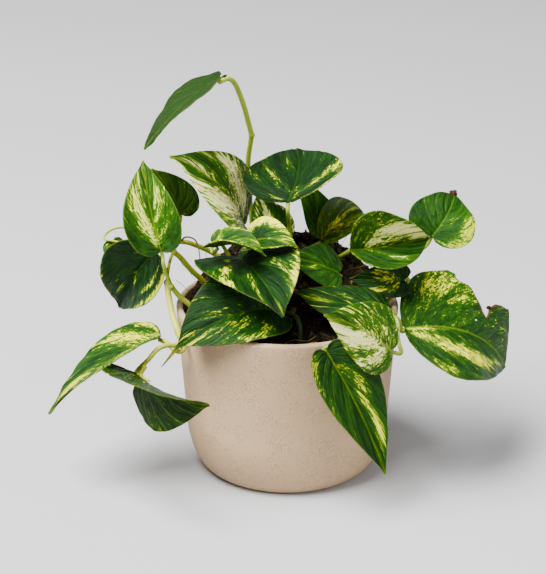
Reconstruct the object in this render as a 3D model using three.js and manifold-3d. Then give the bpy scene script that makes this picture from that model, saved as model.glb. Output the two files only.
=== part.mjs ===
// A variegated pothos growing in its own round-footed ceramic pot.
// Millimetres, +Z up. The origin is the middle of the pot's foot, and the plant's open side
// looks towards -Y.
import * as THREE from 'three';
import { mergeVertices } from 'three/addons/utils/BufferGeometryUtils.js';
import Module from 'manifold-3d';

const wasm = await Module();
wasm.setup();

// ---------------------------------------------------------------- driving dimensions
const clearance = 0.3;
const weld = 1e-4;

const pot = {
  rimRadius: 70,
  height: 108.5,
  wall: 4.3,
  floor: 6,
  footRadius: 50,
  cornerRadius: 65.2,
  cornerHeight: 41.5,
  sides: 48,
  cornerSteps: 6,
  insideSteps: 4,
  lipSteps: 6,
};

// The root ball domes towards the back of the pot and is scooped out at the front.
const soil = {
  hollow: 101,
  shoulder: 104,
  dome: 36,
  domeCentreY: 28,
  domeReach: 66,
  domePower: 2.2,
  lump: 1.1,
  buried: 4,
  sides: 36,
  rings: [64.4, 56, 44, 30, 15, 0],
};

const blade = { thickness: 0.8, wave: 0.6, waves: 2.3, cells: 3 };

const stalk = { sides: 8, step: 7, ring: 1.25, ringRows: 6, underBlade: 1.5 };

// ---------------------------------------------------------------- colours
const colours = {
  pot: 0xbeab96,
  soil: 0x33261c,
  vine: 0x8fa63a,
  green: 0x3f7d2c,
  dark: 0x2b5a26,
  yellow: 0xa7bb4c,
  cream: 0xcfd08f,
};

// ---------------------------------------------------------------- the leaf's outline
// Each row crosses the blade from margin to margin, bowed back like its side veins.
// midrib: how far along the blade the row meets the midrib; along: how far along it meets the
// margin; wide: the half width there. The real outline is a mix of the egg and heart shapes.
const outline = {
  midrib: [0, 0.005, 0.02, 0.07, 0.15, 0.29, 0.48, 0.72, 0.87, 1],
  egg: {
    along: [0, 0.01, 0.06, 0.16, 0.29, 0.47, 0.66, 0.83, 0.93, 1],
    wide: [0.05, 0.34, 0.7, 0.93, 1, 0.86, 0.6, 0.3, 0.11, 0.02],
  },
  heart: {
    along: [-0.09, -0.115, -0.045, 0.1, 0.27, 0.47, 0.66, 0.83, 0.93, 1],
    wide: [0.26, 0.52, 0.82, 0.98, 1, 0.86, 0.6, 0.3, 0.11, 0.02],
  },
  blunt: {
    along: [0, 0.01, 0.06, 0.16, 0.29, 0.46, 0.64, 0.82, 0.93, 1],
    wide: [0.05, 0.34, 0.7, 0.93, 1, 0.98, 0.9, 0.74, 0.52, 0.02],
  },
};

// ---------------------------------------------------------------- the leaves
// base and tip of the midrib; face: the way the upper side looks; width; fold of each half up
// from the midrib, bend of the midrib, curl of the margins and twist from base to tip, degrees;
// sway: how far the midrib bows sideways; lobes: 0 egg-shaped, 1 heart-shaped.
const leaves = {
  arch: {
    base: [-40, 22, 250], tip: [-88, 3, 208], face: [-0.6, -0.1, 0.8],
    width: 47, fold: 9, bend: 26, curl: -3, twist: 9, sway: 0, lobes: 0, colour: 'green',
  },
  upright: {
    base: [-78, -16, 149], tip: [-90, 18, 196], face: [-0.1, -0.8, 0.6],
    width: 43, fold: 31, bend: 25, curl: 12, twist: 5, sway: -1, lobes: 0.4, colour: 'cream',
  },
  behind: {
    base: [-68, 22, 159], tip: [-85, 23, 189], face: [0.3, -0.9, 0.2],
    width: 30, fold: 18, bend: 30, curl: 3, twist: 0, sway: 2, lobes: 1.1, colour: 'dark',
  },
  cream: {
    base: [-27, 24, 151], tip: [-72, -1, 205], face: [0.8, -0.5, 0.4],
    width: 55, fold: 13, bend: 42, curl: -1, twist: 23, sway: 4, lobes: 0.1, colour: 'cream',
  },
  crown: {
    base: [0, -8, 178], tip: [6, 64, 189], face: [-0.1, -0.1, 1],
    width: 65, fold: 17, bend: 12, curl: 2, twist: -5, sway: 4, lobes: 0.3, colour: 'dark',
  },
  inner: {
    base: [-8, 10, 145], tip: [-19, 39, 167], face: [0.3, -0.5, 0.8],
    width: 30, fold: 12, bend: 44, curl: -1, twist: -1, sway: 0, lobes: 0.3, colour: 'cream',
  },
  curled: {
    base: [-44, -30, 157], tip: [-13, -44, 156], face: [0, -0.1, 1],
    width: 25, fold: 28, bend: 59, curl: 10, twist: 4, sway: 0, lobes: 0.9, colour: 'green',
  },
  drooping: {
    base: [-25, -12, 152], tip: [6, -27, 155], face: [-0.3, -0.4, 0.9],
    width: 30, fold: 19, bend: 54, curl: 3, twist: 5, sway: -2, lobes: 0.4, colour: 'yellow',
  },
  center: {
    base: [-31, -14, 144], tip: [-3, -78, 131], face: [0, -0.2, 1],
    width: 63, fold: 11, bend: 31, curl: -2, twist: 5, sway: -1, lobes: 1, colour: 'dark',
  },
  lower_left: {
    base: [-5, -36, 117], tip: [-68, -53, 100], face: [-0.1, -0.6, 0.8],
    width: 59, fold: 17, bend: 47, curl: 2, twist: 3, sway: 2, lobes: 0.2, colour: 'dark',
  },
  left_dark: {
    base: [-84, 4, 140], tip: [-108, 25, 94], face: [-0.5, -0.9, -0.1],
    width: 50, fold: 27, bend: 31, curl: 9, twist: 4, sway: 2, lobes: 0.5, colour: 'dark',
  },
  low_long: {
    base: [-79, -28, 97], tip: [-149, -41, 50], face: [-0.6, 0, 0.8],
    width: 59, fold: 20, bend: 28, curl: 4, twist: 3, sway: 1, lobes: 0.1, colour: 'yellow',
  },
  low_folded: {
    base: [-90, -50, 80], tip: [-46, -104, 86], face: [0.6, 0.6, 0.5],
    width: 57, fold: -35, bend: -26, curl: 1, twist: 4, sway: 1, lobes: 1.3, colour: 'green',
  },
  far_left: {
    base: [-111, 24, 145], tip: [-104, 16, 125], face: [-0.1, -0.9, 0.3],
    width: 16, fold: 12, bend: 21, curl: -2, twist: 0, sway: 0, lobes: 0.8, colour: 'green',
  },
  back_narrow: {
    base: [21, 35, 140], tip: [8, 50, 175], face: [0.4, -0.8, 0.5],
    width: 30, fold: 33, bend: 9, curl: 14, twist: 2, sway: 0, lobes: 0.3, colour: 'dark',
  },
  back_folded: {
    base: [21, 14, 144], tip: [50, 55, 148], face: [0.5, -0.4, 0.8],
    width: 41, fold: 42, bend: 27, curl: 20, twist: -1, sway: -3, lobes: 0.3, colour: 'dark',
  },
  right_cream: {
    base: [39, -4, 145], tip: [90, 18, 145], face: [0.3, -0.8, 0.5],
    width: 57, fold: 40, bend: 24, curl: 19, twist: -14, sway: 2, lobes: 0, colour: 'cream',
  },
  right_round: {
    base: [92, 23, 144], tip: [108, 56, 161], face: [0.3, -0.5, 0.8],
    width: 44, fold: 23, bend: 51, curl: 7, twist: 0, sway: 2, lobes: 0.7, colour: 'green',
  },
  small_right: {
    base: [73, -2, 124], tip: [39, -3, 125], face: [0, -0.9, 0.3],
    width: 23, fold: 15, bend: 28, curl: 1, twist: -2, sway: 0, lobes: 0.9, colour: 'yellow',
  },
  middle_dark: {
    base: [32, -5, 130], tip: [-1, -14, 144], face: [0.4, -0.6, 0.7],
    width: 30, fold: 6, bend: 17, curl: -6, twist: 8, sway: 1, lobes: 0.5, colour: 'dark',
  },
  middle_low: {
    base: [60, -30, 115], tip: [4, -31, 128], face: [0.2, -0.4, 0.9],
    width: 38, fold: 1, bend: 5, curl: -10, twist: 21, sway: -2, lobes: 0.6, colour: 'dark',
  },
  front_cream: {
    base: [61, -50, 98], tip: [21, -70, 129], face: [0.5, -0.9, 0.1],
    width: 39, fold: 1, bend: 0, curl: -9, twist: -9, sway: 3, lobes: 0.6, colour: 'cream',
  },
  hanging: {
    base: [23, -78, 108], tip: [59, -89, 32], face: [0.2, -1, 0.2],
    width: 48, fold: 35, bend: 7, curl: 15, twist: -2, sway: -2, lobes: 0.5, colour: 'dark',
  },
  big_right: {
    base: [72.5, -30, 103], tip: [140.5, 7, 61.5], face: [0.6, -0.4, 0.7],
    width: 88, fold: 6, bend: 75, curl: -3, twist: -36, sway: -4, lobes: 0.1,
    bluntLeft: 1.3, bluntRight: 0.2, torn: true, colour: 'yellow',
  },
};

// The big right leaf has a torn notch in its upper margin. Its outline is drawn square to a
// line that looks down on the leaf from the front; right and up are counted from its corner.
const notch = {
  corner: [129, 12.5, 99],
  lookDown: 22,
  near: 12,
  far: 20,
  outline: [[-11.5, 12.8], [-8.9, 7], [-6.1, 1.9], [-4.5, -2.6], [-2.3, -6.4], [-0.6, -3.2],
    [0, 0], [4.5, 2.2], [8.9, 1.3], [13.4, -1.3], [20, 5], [13, 20], [-6, 22]],
};

// ---------------------------------------------------------------- the vines
// Each vine is a list of branches. A branch runs through its points, from its first radius to
// its second; with leaf, it goes on to just under that leaf's base, by way of a point that lies
// back from the base and below it. rings are the swollen nodes where branches part.
const vines = {
  tall: {
    branches: [
      { points: [[-22, 40, 126], [-22, 42, 140], [-24, 46, 162], [-25, 48, 184], [-22.5, 45, 204]],
        radii: [1.9, 1.7] },
      { points: [[-22.5, 45, 204], [-25.5, 40, 218], [-29.5, 34, 232], [-33.5, 29, 241.5]],
        radii: [1.7, 1.3], leaf: 'arch', approach: [4, 2.4] },
    ],
    rings: [[-22.5, 45, 204]],
  },
  trailing: {
    branches: [
      { points: [[-50, 14, 111], [-54, 10, 119], [-61, 6, 128], [-67, 3, 137], [-71, 0, 142]],
        radii: [1.9, 1.8] },
      { points: [[-71, 0, 142], [-73, -3, 138], [-74.5, -6, 131], [-75, -9, 125]],
        radii: [1.1, 1.1] },
      { points: [[-75, -9, 125], [-74, -13, 118], [-72, -19, 110], [-68.5, -28, 102],
        [-65, -34, 95]], radii: [1.9, 2.1] },
      { points: [[-65, -34, 95], [-65.5, -36.5, 90.5], [-69, -35.5, 88.5], [-73, -32, 92]],
        radii: [1.6, 1.3], leaf: 'low_long', approach: [3.5, 2.6] },
      { points: [[-65, -34, 95], [-69, -39, 95.5], [-75, -42, 96.5], [-80, -45, 95],
        [-85, -48, 90]], radii: [1.5, 1.1], leaf: 'low_folded', approach: [5, 1.4], reach: -1 },
      { points: [[-65, -34, 95], [-69, -38, 92], [-73, -39, 87], [-78, -40, 81]],
        radii: [1.5, 0.5] },
    ],
    rings: [[-71, 0, 142], [-75, -9, 125], [-65, -34, 95]],
  },
  upright: {
    branches: [
      { points: [[-51, -16, 94], [-55, -15, 104], [-61, -15, 112.5], [-67, -15, 118],
        [-72, -16, 125]], radii: [1.8, 1.7] },
      { points: [[-72, -16, 125], [-74.5, -17, 133], [-76.5, -18, 141]],
        radii: [1.4, 1.2], leaf: 'upright', approach: [4, 2.4] },
    ],
    rings: [[-72, -16, 125]],
  },
  left: {
    branches: [
      { points: [[-38, 20, 117], [-42, 20, 129], [-49, 19, 135], [-57, 16, 140], [-63, 14, 143],
        [-69, 13, 144]], radii: [1.8, 1.6] },
      { points: [[-69, 13, 144], [-75, 13, 144.5], [-80, 11, 144]],
        radii: [1.4, 1.2], leaf: 'left_dark', approach: [4, 2.4] },
      { points: [[-69, 13, 144], [-80, 19, 146], [-92, 23, 148], [-104, 26, 149],
        [-111, 27, 148]], radii: [1.4, 1], leaf: 'far_left', approach: [2, 2.2] },
      { points: [[-69, 13, 144], [-70, 18, 147]],
        radii: [1.3, 1.1], leaf: 'behind', approach: [4, 2.4] },
      { points: [[-67, 13, 144], [-64, 10, 148], [-59, 10, 147], [-56.5, 11, 143],
        [-55.5, 12, 136], [-55, 13, 130]], radii: [0.7, 0.5] },
    ],
    rings: [[-69, 13, 144]],
  },
  center: {
    branches: [
      { points: [[-34, 2, 112], [-34, -1, 126], [-33, -3, 134]], radii: [1.8, 1.8] },
      { points: [[-33, -3, 134], [-38, -2, 143], [-42, -7, 151], [-46, -18, 155]],
        radii: [1.3, 1.2], leaf: 'curled', approach: [4, 3.4] },
      { points: [[-33, -3, 134], [-33, -6, 139]],
        radii: [1.4, 1.2], leaf: 'center', approach: [4, 3.2] },
    ],
    rings: [[-33, -3, 134]],
  },
  drooping: {
    branches: [
      { points: [[-23, 7, 118], [-23, 5, 134], [-23, 4, 145], [-24.5, -1, 151]],
        radii: [1.3, 1.1], leaf: 'drooping', approach: [3, 1.6] },
    ],
  },
  inner: {
    branches: [
      { points: [[-6, 16, 127], [-5, 14, 137]],
        radii: [1.3, 1.1], leaf: 'inner', approach: [4, 2.6] },
    ],
  },
  cream: {
    branches: [
      { points: [[-18, 30, 126], [-20, 29, 138]],
        radii: [1.5, 1.3], leaf: 'cream', approach: [6, 4] },
    ],
  },
  crown: {
    branches: [
      { points: [[3, 6, 126], [2, 2, 142], [1, -3, 161]],
        radii: [1.4, 1.3], leaf: 'crown', approach: [5, 4] },
    ],
  },
  front: {
    branches: [
      { points: [[5, -53, 92], [6, -55, 106], [6, -51, 115], [4, -46, 119], [1, -41, 119]],
        radii: [1.8, 1.5], leaf: 'lower_left', approach: [4, 3] },
    ],
  },
  hanging: {
    branches: [
      { points: [[18, -52, 91], [18, -56, 104], [19, -64, 112.5], [20.5, -72, 114]],
        radii: [1.5, 1.4], leaf: 'hanging', approach: [4, 3] },
    ],
  },
  right_front: {
    branches: [
      { points: [[50, -18, 93], [54.5, -21, 105], [60, -24.5, 111.6], [64.5, -27.5, 111.7]],
        radii: [1.8, 1.7] },
      { points: [[64.5, -27.5, 111.7], [67.5, -33, 108.6], [68, -38, 104], [67, -43, 99],
        [64.5, -46, 96]], radii: [1.4, 1.3], leaf: 'front_cream', approach: [3, 2.6] },
      { points: [[64.5, -27.5, 111.7], [68.5, -28, 107.5], [70, -27.8, 103]],
        radii: [1.5, 1.4], leaf: 'big_right', approach: [1.5, 3.4] },
    ],
    rings: [[64.5, -27.5, 111.7]],
  },
  right_cream: {
    branches: [
      { points: [[26, 16, 122], [28, 15, 130], [33, 12, 133.5], [37, 6, 138]],
        radii: [1.5, 1.3], leaf: 'right_cream', approach: [3, 4] },
    ],
  },
  right_round: {
    branches: [
      { points: [[48, 14, 103], [53, 14, 114], [61, 15, 120], [70, 17, 123.5], [79, 22, 130.5]],
        radii: [1.5, 1.3], leaf: 'right_round', approach: [6, 4.5] },
    ],
  },
  small_right: {
    branches: [
      { points: [[56, -7, 95], [58.5, -6, 105], [64, -5, 112], [70, -2, 117]],
        radii: [1.4, 1.2], leaf: 'small_right', approach: [4, 2.6] },
    ],
  },
  middle_dark: {
    branches: [
      { points: [[28, 8, 114], [31, 4, 124]],
        radii: [1.4, 1.2], leaf: 'middle_dark', approach: [4, 3] },
    ],
  },
  middle_low: {
    branches: [
      { points: [[48, -26, 93], [50, -29, 104], [54, -31, 110.5]],
        radii: [1.5, 1.3], leaf: 'middle_low' },
    ],
  },
  back_folded: {
    branches: [
      { points: [[16, 22, 123], [16, 20, 135], [16, 16, 139.5]],
        radii: [1.5, 1.2], leaf: 'back_folded', approach: [3, 2.6] },
    ],
  },
  back_narrow: {
    branches: [
      { points: [[20, 38, 122], [20.5, 37, 132]],
        radii: [1.3, 1.1], leaf: 'back_narrow', approach: [4, 2.6] },
    ],
  },
};

// ---------------------------------------------------------------- solids and meshes
function toSolid(geometry) {
  const bare = geometry.clone();
  bare.deleteAttribute('normal');
  bare.deleteAttribute('uv');
  const merged = mergeVertices(bare, weld);
  const index = merged.index.array;
  const kept = [];
  for (let i = 0; i < index.length; i += 3) {
    const [a, b, c] = index.slice(i, i + 3);
    if (a !== b && b !== c && c !== a) kept.push(a, b, c);
  }
  return new wasm.Manifold(new wasm.Mesh({
    numProp: 3,
    vertProperties: new Float32Array(merged.attributes.position.array),
    triVerts: new Uint32Array(kept),
  }));
}

function toGeometry(solid) {
  const { vertProperties, triVerts } = solid.getMesh();
  const geometry = new THREE.BufferGeometry();
  geometry.setAttribute('position', new THREE.BufferAttribute(vertProperties, 3));
  geometry.setIndex(new THREE.BufferAttribute(triVerts, 1));
  geometry.computeVertexNormals();
  return geometry;
}

function largestBody(solid) {
  return solid.decompose().reduce((a, b) => (a.volume() > b.volume() ? a : b));
}

// ---------------------------------------------------------------- pot
function cornerArc(foot, side, low, high, steps) {
  const arc = [];
  for (let i = 0; i <= steps; i += 1) {
    const angle = (i / steps) * Math.PI / 2;
    const radius = foot + (side - foot) * Math.sin(angle);
    arc.push(new THREE.Vector2(radius, high - (high - low) * Math.cos(angle)));
  }
  return arc;
}

function potGeometry() {
  const lip = pot.wall / 2;
  const lipHeight = pot.height - lip;
  const profile = [new THREE.Vector2(0, 0)];
  profile.push(...cornerArc(pot.footRadius, pot.cornerRadius, 0, pot.cornerHeight,
    pot.cornerSteps));
  const middle = pot.rimRadius - lip;
  for (let i = 0; i <= pot.lipSteps; i += 1) {
    const angle = (i / pot.lipSteps) * Math.PI;
    profile.push(new THREE.Vector2(middle + lip * Math.cos(angle),
      lipHeight + lip * Math.sin(angle)));
  }
  const inside = cornerArc(pot.footRadius - pot.wall, pot.cornerRadius - pot.wall,
    pot.floor, pot.cornerHeight, pot.insideSteps);
  profile.push(...inside.reverse(), new THREE.Vector2(0, pot.floor));
  return new THREE.LatheGeometry(profile, pot.sides);
}

// ---------------------------------------------------------------- soil
function soilHeight(x, y) {
  const reach = Math.hypot(x, y - soil.domeCentreY) / soil.domeReach;
  const height = soil.shoulder + soil.dome * (1 - reach ** soil.domePower);
  return Math.max(height, soil.hollow);
}

function soilLump(x, y) {
  const coarse = Math.sin(x * 0.31 + y * 0.17) * Math.sin(y * 0.29 - x * 0.11);
  const fine = Math.sin(x * 0.83 + 1.3) * Math.sin(y * 0.77 + x * 0.25);
  return soil.lump * (coarse + 0.7 * fine);
}

function soilSolid() {
  const profile = [new THREE.Vector2(0, pot.floor + clearance)];
  const corner = cornerArc(pot.footRadius - pot.wall - clearance,
    pot.cornerRadius - pot.wall - clearance, pot.floor + clearance, pot.cornerHeight,
    pot.insideSteps);
  profile.push(...corner, new THREE.Vector2(soil.rings[0], soil.hollow - soil.buried));
  for (const radius of soil.rings) profile.push(new THREE.Vector2(radius, soil.hollow));
  const geometry = new THREE.LatheGeometry(profile, soil.sides).toNonIndexed();
  geometry.rotateX(Math.PI / 2);
  const position = geometry.attributes.position;
  for (let i = 0; i < position.count; i += 1) {
    if (position.getZ(i) > soil.hollow - soil.buried / 2) {
      const x = position.getX(i);
      const y = position.getY(i);
      position.setZ(i, soilHeight(x, y) + soilLump(x, y));
    }
  }
  return toSolid(geometry);
}

// ---------------------------------------------------------------- leaf blades
// The leaf's own directions: u along it, n out of its upper side, w across.
function leafFrame(leaf) {
  const base = new THREE.Vector3(...leaf.base);
  const u = new THREE.Vector3(...leaf.tip).sub(base);
  const length = u.length();
  u.normalize();
  const n = new THREE.Vector3(...leaf.face);
  n.addScaledVector(u, -n.dot(u)).normalize();
  const w = new THREE.Vector3().crossVectors(u, n);
  const bend = THREE.MathUtils.degToRad(Math.abs(leaf.bend) > 0.5 ? leaf.bend : 0.5);
  return { base, u, n, w, length, bend, radius: length / (2 * Math.sin(bend / 2)) };
}

// A point of the blade: row counts from base to tip, side runs from -1 to 1 across, and lift
// is the height over the blade's middle surface.
function bladePoint(leaf, frame, row, side, lift, phase) {
  const { egg, heart, blunt, midrib } = outline;
  const bluntness = (side < 0 ? leaf.bluntLeft : leaf.bluntRight) ?? 0;
  const mix = (key) => egg[key][row] + leaf.lobes * (heart[key][row] - egg[key][row])
    + bluntness * (blunt[key][row] - egg[key][row]);
  const out = Math.abs(side);
  const along = midrib[row] + out * (mix('along') - midrib[row]);
  const half = out * mix('wide') * leaf.width / 2;
  const tilt = THREE.MathUtils.degToRad(leaf.fold + leaf.curl * out / 2);
  const rowTime = row / (midrib.length - 1);
  const ripple = Math.sin(2 * Math.PI * blade.waves * rowTime + phase + 1.3 * side);
  const flat = half * Math.cos(tilt) * Math.sign(side);
  const high = half * Math.sin(tilt) + blade.wave * out * out * ripple + lift / Math.cos(tilt);
  const turn = THREE.MathUtils.degToRad(leaf.twist) * (along - 0.5);
  const across = flat * Math.cos(turn) - high * Math.sin(turn) + leaf.sway * 4 * along * (1 - along);
  const above = flat * Math.sin(turn) + high * Math.cos(turn);
  const angle = frame.bend / 2 - frame.bend * along;
  return frame.base.clone()
    .addScaledVector(frame.u, frame.radius * (Math.sin(frame.bend / 2) - Math.sin(angle)))
    .addScaledVector(frame.n, frame.radius * (Math.cos(angle) - Math.cos(frame.bend / 2)))
    .addScaledVector(frame.w, across)
    .addScaledVector(frame.u, -above * Math.sin(angle))
    .addScaledVector(frame.n, above * Math.cos(angle));
}

function bladeSolid(leaf, phase) {
  const rows = outline.midrib.length;
  const columns = 2 * blade.cells + 1;
  const frame = leafFrame(leaf);
  const points = [];
  for (const lift of [-blade.thickness / 2, blade.thickness / 2]) {
    for (let row = 0; row < rows; row += 1) {
      for (let column = 0; column < columns; column += 1) {
        const side = column / blade.cells - 1;
        points.push(...bladePoint(leaf, frame, row, side, lift, phase).toArray());
      }
    }
  }
  const under = rows * columns;
  const faces = [];
  for (let row = 0; row < rows - 1; row += 1) {
    for (let column = 0; column < columns - 1; column += 1) {
      const a = row * columns + column;
      const b = a + 1;
      const c = a + columns;
      const d = c + 1;
      const split = column < blade.cells ? [a, d, b, a, c, d] : [a, c, b, b, c, d];
      faces.push(...split);
      faces.push(...split.map((corner) => corner + under).reverse());
    }
  }
  const wall = (a, b) => faces.push(a, b, b + under, a, b + under, a + under);
  for (let column = 0; column < columns - 1; column += 1) {
    wall(column, column + 1);
    wall((rows - 1) * columns + column + 1, (rows - 1) * columns + column);
  }
  for (let row = 0; row < rows - 1; row += 1) {
    wall((row + 1) * columns, row * columns);
    wall(row * columns + columns - 1, (row + 1) * columns + columns - 1);
  }
  return new wasm.Manifold(new wasm.Mesh({
    numProp: 3,
    vertProperties: new Float32Array(points),
    triVerts: new Uint32Array(faces),
  }));
}

function notchSolid() {
  const shape = new THREE.Shape(notch.outline.map(([right, up]) => new THREE.Vector2(right, up)));
  const depth = notch.near + notch.far;
  const geometry = new THREE.ExtrudeGeometry(shape, { depth, bevelEnabled: false });
  geometry.translate(0, 0, -notch.far);
  geometry.rotateX(THREE.MathUtils.degToRad(90 - notch.lookDown));
  geometry.translate(...notch.corner);
  return toSolid(geometry);
}

// The point that lies back from the leaf's base and down from the blade's middle surface.
function underLeaf(leaf, back, down) {
  const frame = leafFrame(leaf);
  const half = frame.bend / 2;
  const along = frame.u.clone().multiplyScalar(Math.cos(half))
    .addScaledVector(frame.n, Math.sin(half));
  const above = frame.n.clone().multiplyScalar(Math.cos(half))
    .addScaledVector(frame.u, -Math.sin(half));
  return frame.base.clone().addScaledVector(along, -back).addScaledVector(above, -down);
}

// ---------------------------------------------------------------- vines
function branchPoints(branch) {
  const points = branch.points.map((point) => new THREE.Vector3(...point));
  if (branch.leaf) {
    const leaf = leaves[branch.leaf];
    const drop = branch.radii[1] + blade.thickness / 2 + clearance;
    if (branch.approach) points.push(underLeaf(leaf, ...branch.approach));
    points.push(underLeaf(leaf, -(branch.reach ?? stalk.underBlade), drop));
  }
  return points;
}

// A round stalk through the points; grow makes it that much fatter and longer all round.
function stalkSolid(points, radii, grow) {
  const line = points.map((point) => point.clone());
  const last = line.length - 1;
  const start = line[0].clone().sub(line[1]).setLength(grow);
  const end = line[last].clone().sub(line[last - 1]).setLength(grow);
  line[0].add(start);
  line[last].add(end);
  const path = new THREE.CatmullRomCurve3(line, false, 'centripetal');
  const steps = Math.max(2, Math.ceil(path.getLength() / stalk.step));
  const section = new THREE.Shape();
  for (let i = 0; i < stalk.sides; i += 1) {
    const angle = (i / stalk.sides) * 2 * Math.PI;
    section[i ? 'lineTo' : 'moveTo'](Math.cos(angle), Math.sin(angle));
  }
  section.closePath();
  const geometry = new THREE.ExtrudeGeometry(section, { steps, extrudePath: path });
  const middles = path.getSpacedPoints(steps);
  const position = geometry.attributes.position;
  const vertex = new THREE.Vector3();
  for (let i = 0; i < position.count; i += 1) {
    vertex.fromBufferAttribute(position, i);
    const gaps = middles.map((middle) => Math.abs(middle.distanceTo(vertex) - 1));
    const nearest = gaps.indexOf(Math.min(...gaps));
    const radius = THREE.MathUtils.lerp(radii[0], radii[1], nearest / steps) + grow;
    vertex.sub(middles[nearest]).multiplyScalar(radius).add(middles[nearest]);
    position.setXYZ(i, vertex.x, vertex.y, vertex.z);
  }
  return toSolid(geometry);
}

function ringSolid(centre, radius) {
  const ball = new THREE.SphereGeometry(radius, stalk.sides, stalk.ringRows);
  ball.translate(...centre);
  return toSolid(ball);
}

function vineSolid(vine, grow) {
  let solid = null;
  for (const branch of vine.branches) {
    const tube = stalkSolid(branchPoints(branch), branch.radii, grow);
    solid = solid ? solid.add(tube) : tube;
  }
  for (const ring of vine.rings ?? []) {
    solid = solid.add(ringSolid(ring, stalk.ring * vine.branches[0].radii[1] + grow));
  }
  return solid;
}

// ---------------------------------------------------------------- the plant
const plant = new THREE.Group();

function addPart(name, geometry, colour, roughness) {
  const material = new THREE.MeshStandardMaterial({ color: colour, roughness, metalness: 0 });
  const mesh = new THREE.Mesh(geometry, material);
  mesh.name = name;
  plant.add(mesh);
}

const potBody = potGeometry();
potBody.rotateX(Math.PI / 2);
addPart('pot', potBody, colours.pot, 0.75);

let earth = soilSolid();
const sockets = {};
for (const [name, vine] of Object.entries(vines)) {
  sockets[name] = vineSolid(vine, clearance);
  earth = earth.subtract(sockets[name]);
  addPart(`vine_${name}`, toGeometry(vineSolid(vine, 0)), colours.vine, 0.5);
}
addPart('soil', toGeometry(largestBody(earth)), colours.soil, 0.95);

Object.entries(leaves).forEach(([name, leaf], count) => {
  const [carrier] = Object.entries(vines)
    .find(([, vine]) => vine.branches.some((branch) => branch.leaf === name));
  let cut = bladeSolid(leaf, count).subtract(sockets[carrier]);
  if (leaf.torn) cut = cut.subtract(notchSolid());
  addPart(`leaf_${name}`, toGeometry(largestBody(cut)), colours[leaf.colour], 0.45);
});

export default plant;
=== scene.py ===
"""A variegated pothos in its own round-footed pot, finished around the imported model, in metres."""

import math
import random

import bmesh
import bpy
from mathutils import Matrix, Vector, noise
from mathutils.geometry import interpolate_bezier


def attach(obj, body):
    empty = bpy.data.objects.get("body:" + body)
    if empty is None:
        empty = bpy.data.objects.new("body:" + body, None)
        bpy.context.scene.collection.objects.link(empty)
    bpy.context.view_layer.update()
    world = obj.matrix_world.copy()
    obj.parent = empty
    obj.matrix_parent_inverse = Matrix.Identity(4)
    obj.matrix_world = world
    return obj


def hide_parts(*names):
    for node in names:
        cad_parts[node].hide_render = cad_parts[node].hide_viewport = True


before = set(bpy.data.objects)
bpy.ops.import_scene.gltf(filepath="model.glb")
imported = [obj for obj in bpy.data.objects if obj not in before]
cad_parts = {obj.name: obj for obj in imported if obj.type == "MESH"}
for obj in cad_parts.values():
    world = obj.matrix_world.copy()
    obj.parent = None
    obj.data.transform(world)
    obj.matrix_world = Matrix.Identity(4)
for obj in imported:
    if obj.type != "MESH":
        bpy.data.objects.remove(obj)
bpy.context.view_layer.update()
MM = 0.001
scene = bpy.context.scene

# ---------------------------------------------------------------- pot
# One cast bowl of unglazed beige stoneware with a wide rounded foot and a small rolled lip. The
# clay is matte, with a fine sandy speckle. The wall is one profile, spun once round the axis.
POT = dict(rim=70, height=108.5, wall=4.3, floor=6, foot=50, corner=65.2, corner_height=41.5)
POT_STEPS, CORNER_STEPS, INNER_CORNER_STEPS, WALL_STEPS, LIP_STEPS = 160, 26, 12, 12, 14


def corner_arc(foot, side, low, high, steps):
    """The rounded corner between the foot and the wall, as radius and height in millimetres."""
    angles = [step / steps * math.pi / 2 for step in range(steps + 1)]
    return [(foot + (side - foot) * math.sin(a), high - (high - low) * math.cos(a)) for a in angles]


def inner_corner(gap, steps):
    """The pot's rounded inner corner, or the same line a small gap further in."""
    inset = POT["wall"] + gap
    return corner_arc(POT["foot"] - inset, POT["corner"] - inset, POT["floor"] + gap,
                      POT["corner_height"], steps)


def pot_profile():
    """From the middle of the foot up the outside, over the lip and down to the middle inside."""
    lip = POT["wall"] / 2
    outside = corner_arc(POT["foot"], POT["corner"], 0, POT["corner_height"], CORNER_STEPS)
    rise = POT["height"] - lip - POT["corner_height"]
    for step in range(1, WALL_STEPS):
        share = step / WALL_STEPS
        radius = POT["corner"] + (POT["rim"] - POT["corner"]) * share
        outside.append((radius, POT["corner_height"] + rise * share))
    middle = POT["rim"] - lip
    bends = [step / LIP_STEPS * math.pi for step in range(LIP_STEPS + 1)]
    rolled = [(middle + lip * math.cos(a), POT["height"] - lip + lip * math.sin(a)) for a in bends]
    inside = inner_corner(0, INNER_CORNER_STEPS)
    return [(0, 0)] + outside + rolled + inside[::-1] + [(0, POT["floor"])]


def turned(profile, steps):
    """A closed body of revolution, spun once round the axis from a line of radius and height."""
    shape = bmesh.new()
    line = [shape.verts.new(Vector((radius, 0, height)) * MM) for radius, height in profile]
    edges = [shape.edges.new(pair) for pair in zip(line, line[1:])]
    bmesh.ops.spin(shape, geom=line + edges, cent=(0, 0, 0), axis=(0, 0, 1), dvec=(0, 0, 0),
                   angle=2 * math.pi, steps=steps, use_merge=True, use_duplicate=False)
    bmesh.ops.remove_doubles(shape, verts=shape.verts, dist=1e-6)
    bmesh.ops.recalc_face_normals(shape, faces=shape.faces)
    return shape


def new_object(name, shape):
    """An object in the scene that holds a finished shape."""
    mesh = bpy.data.meshes.new(name)
    shape.to_mesh(mesh)
    shape.free()
    made = bpy.data.objects.new(name, mesh)
    scene.collection.objects.link(made)
    return made


def add_piece(name, shape, slot, *materials):
    """A finished piece that rides on the plant's one body."""
    piece = new_object(name, shape)
    piece.data.shade_smooth()
    for material in materials:
        piece.data.materials.append(material)
    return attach(piece, "root")


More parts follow.
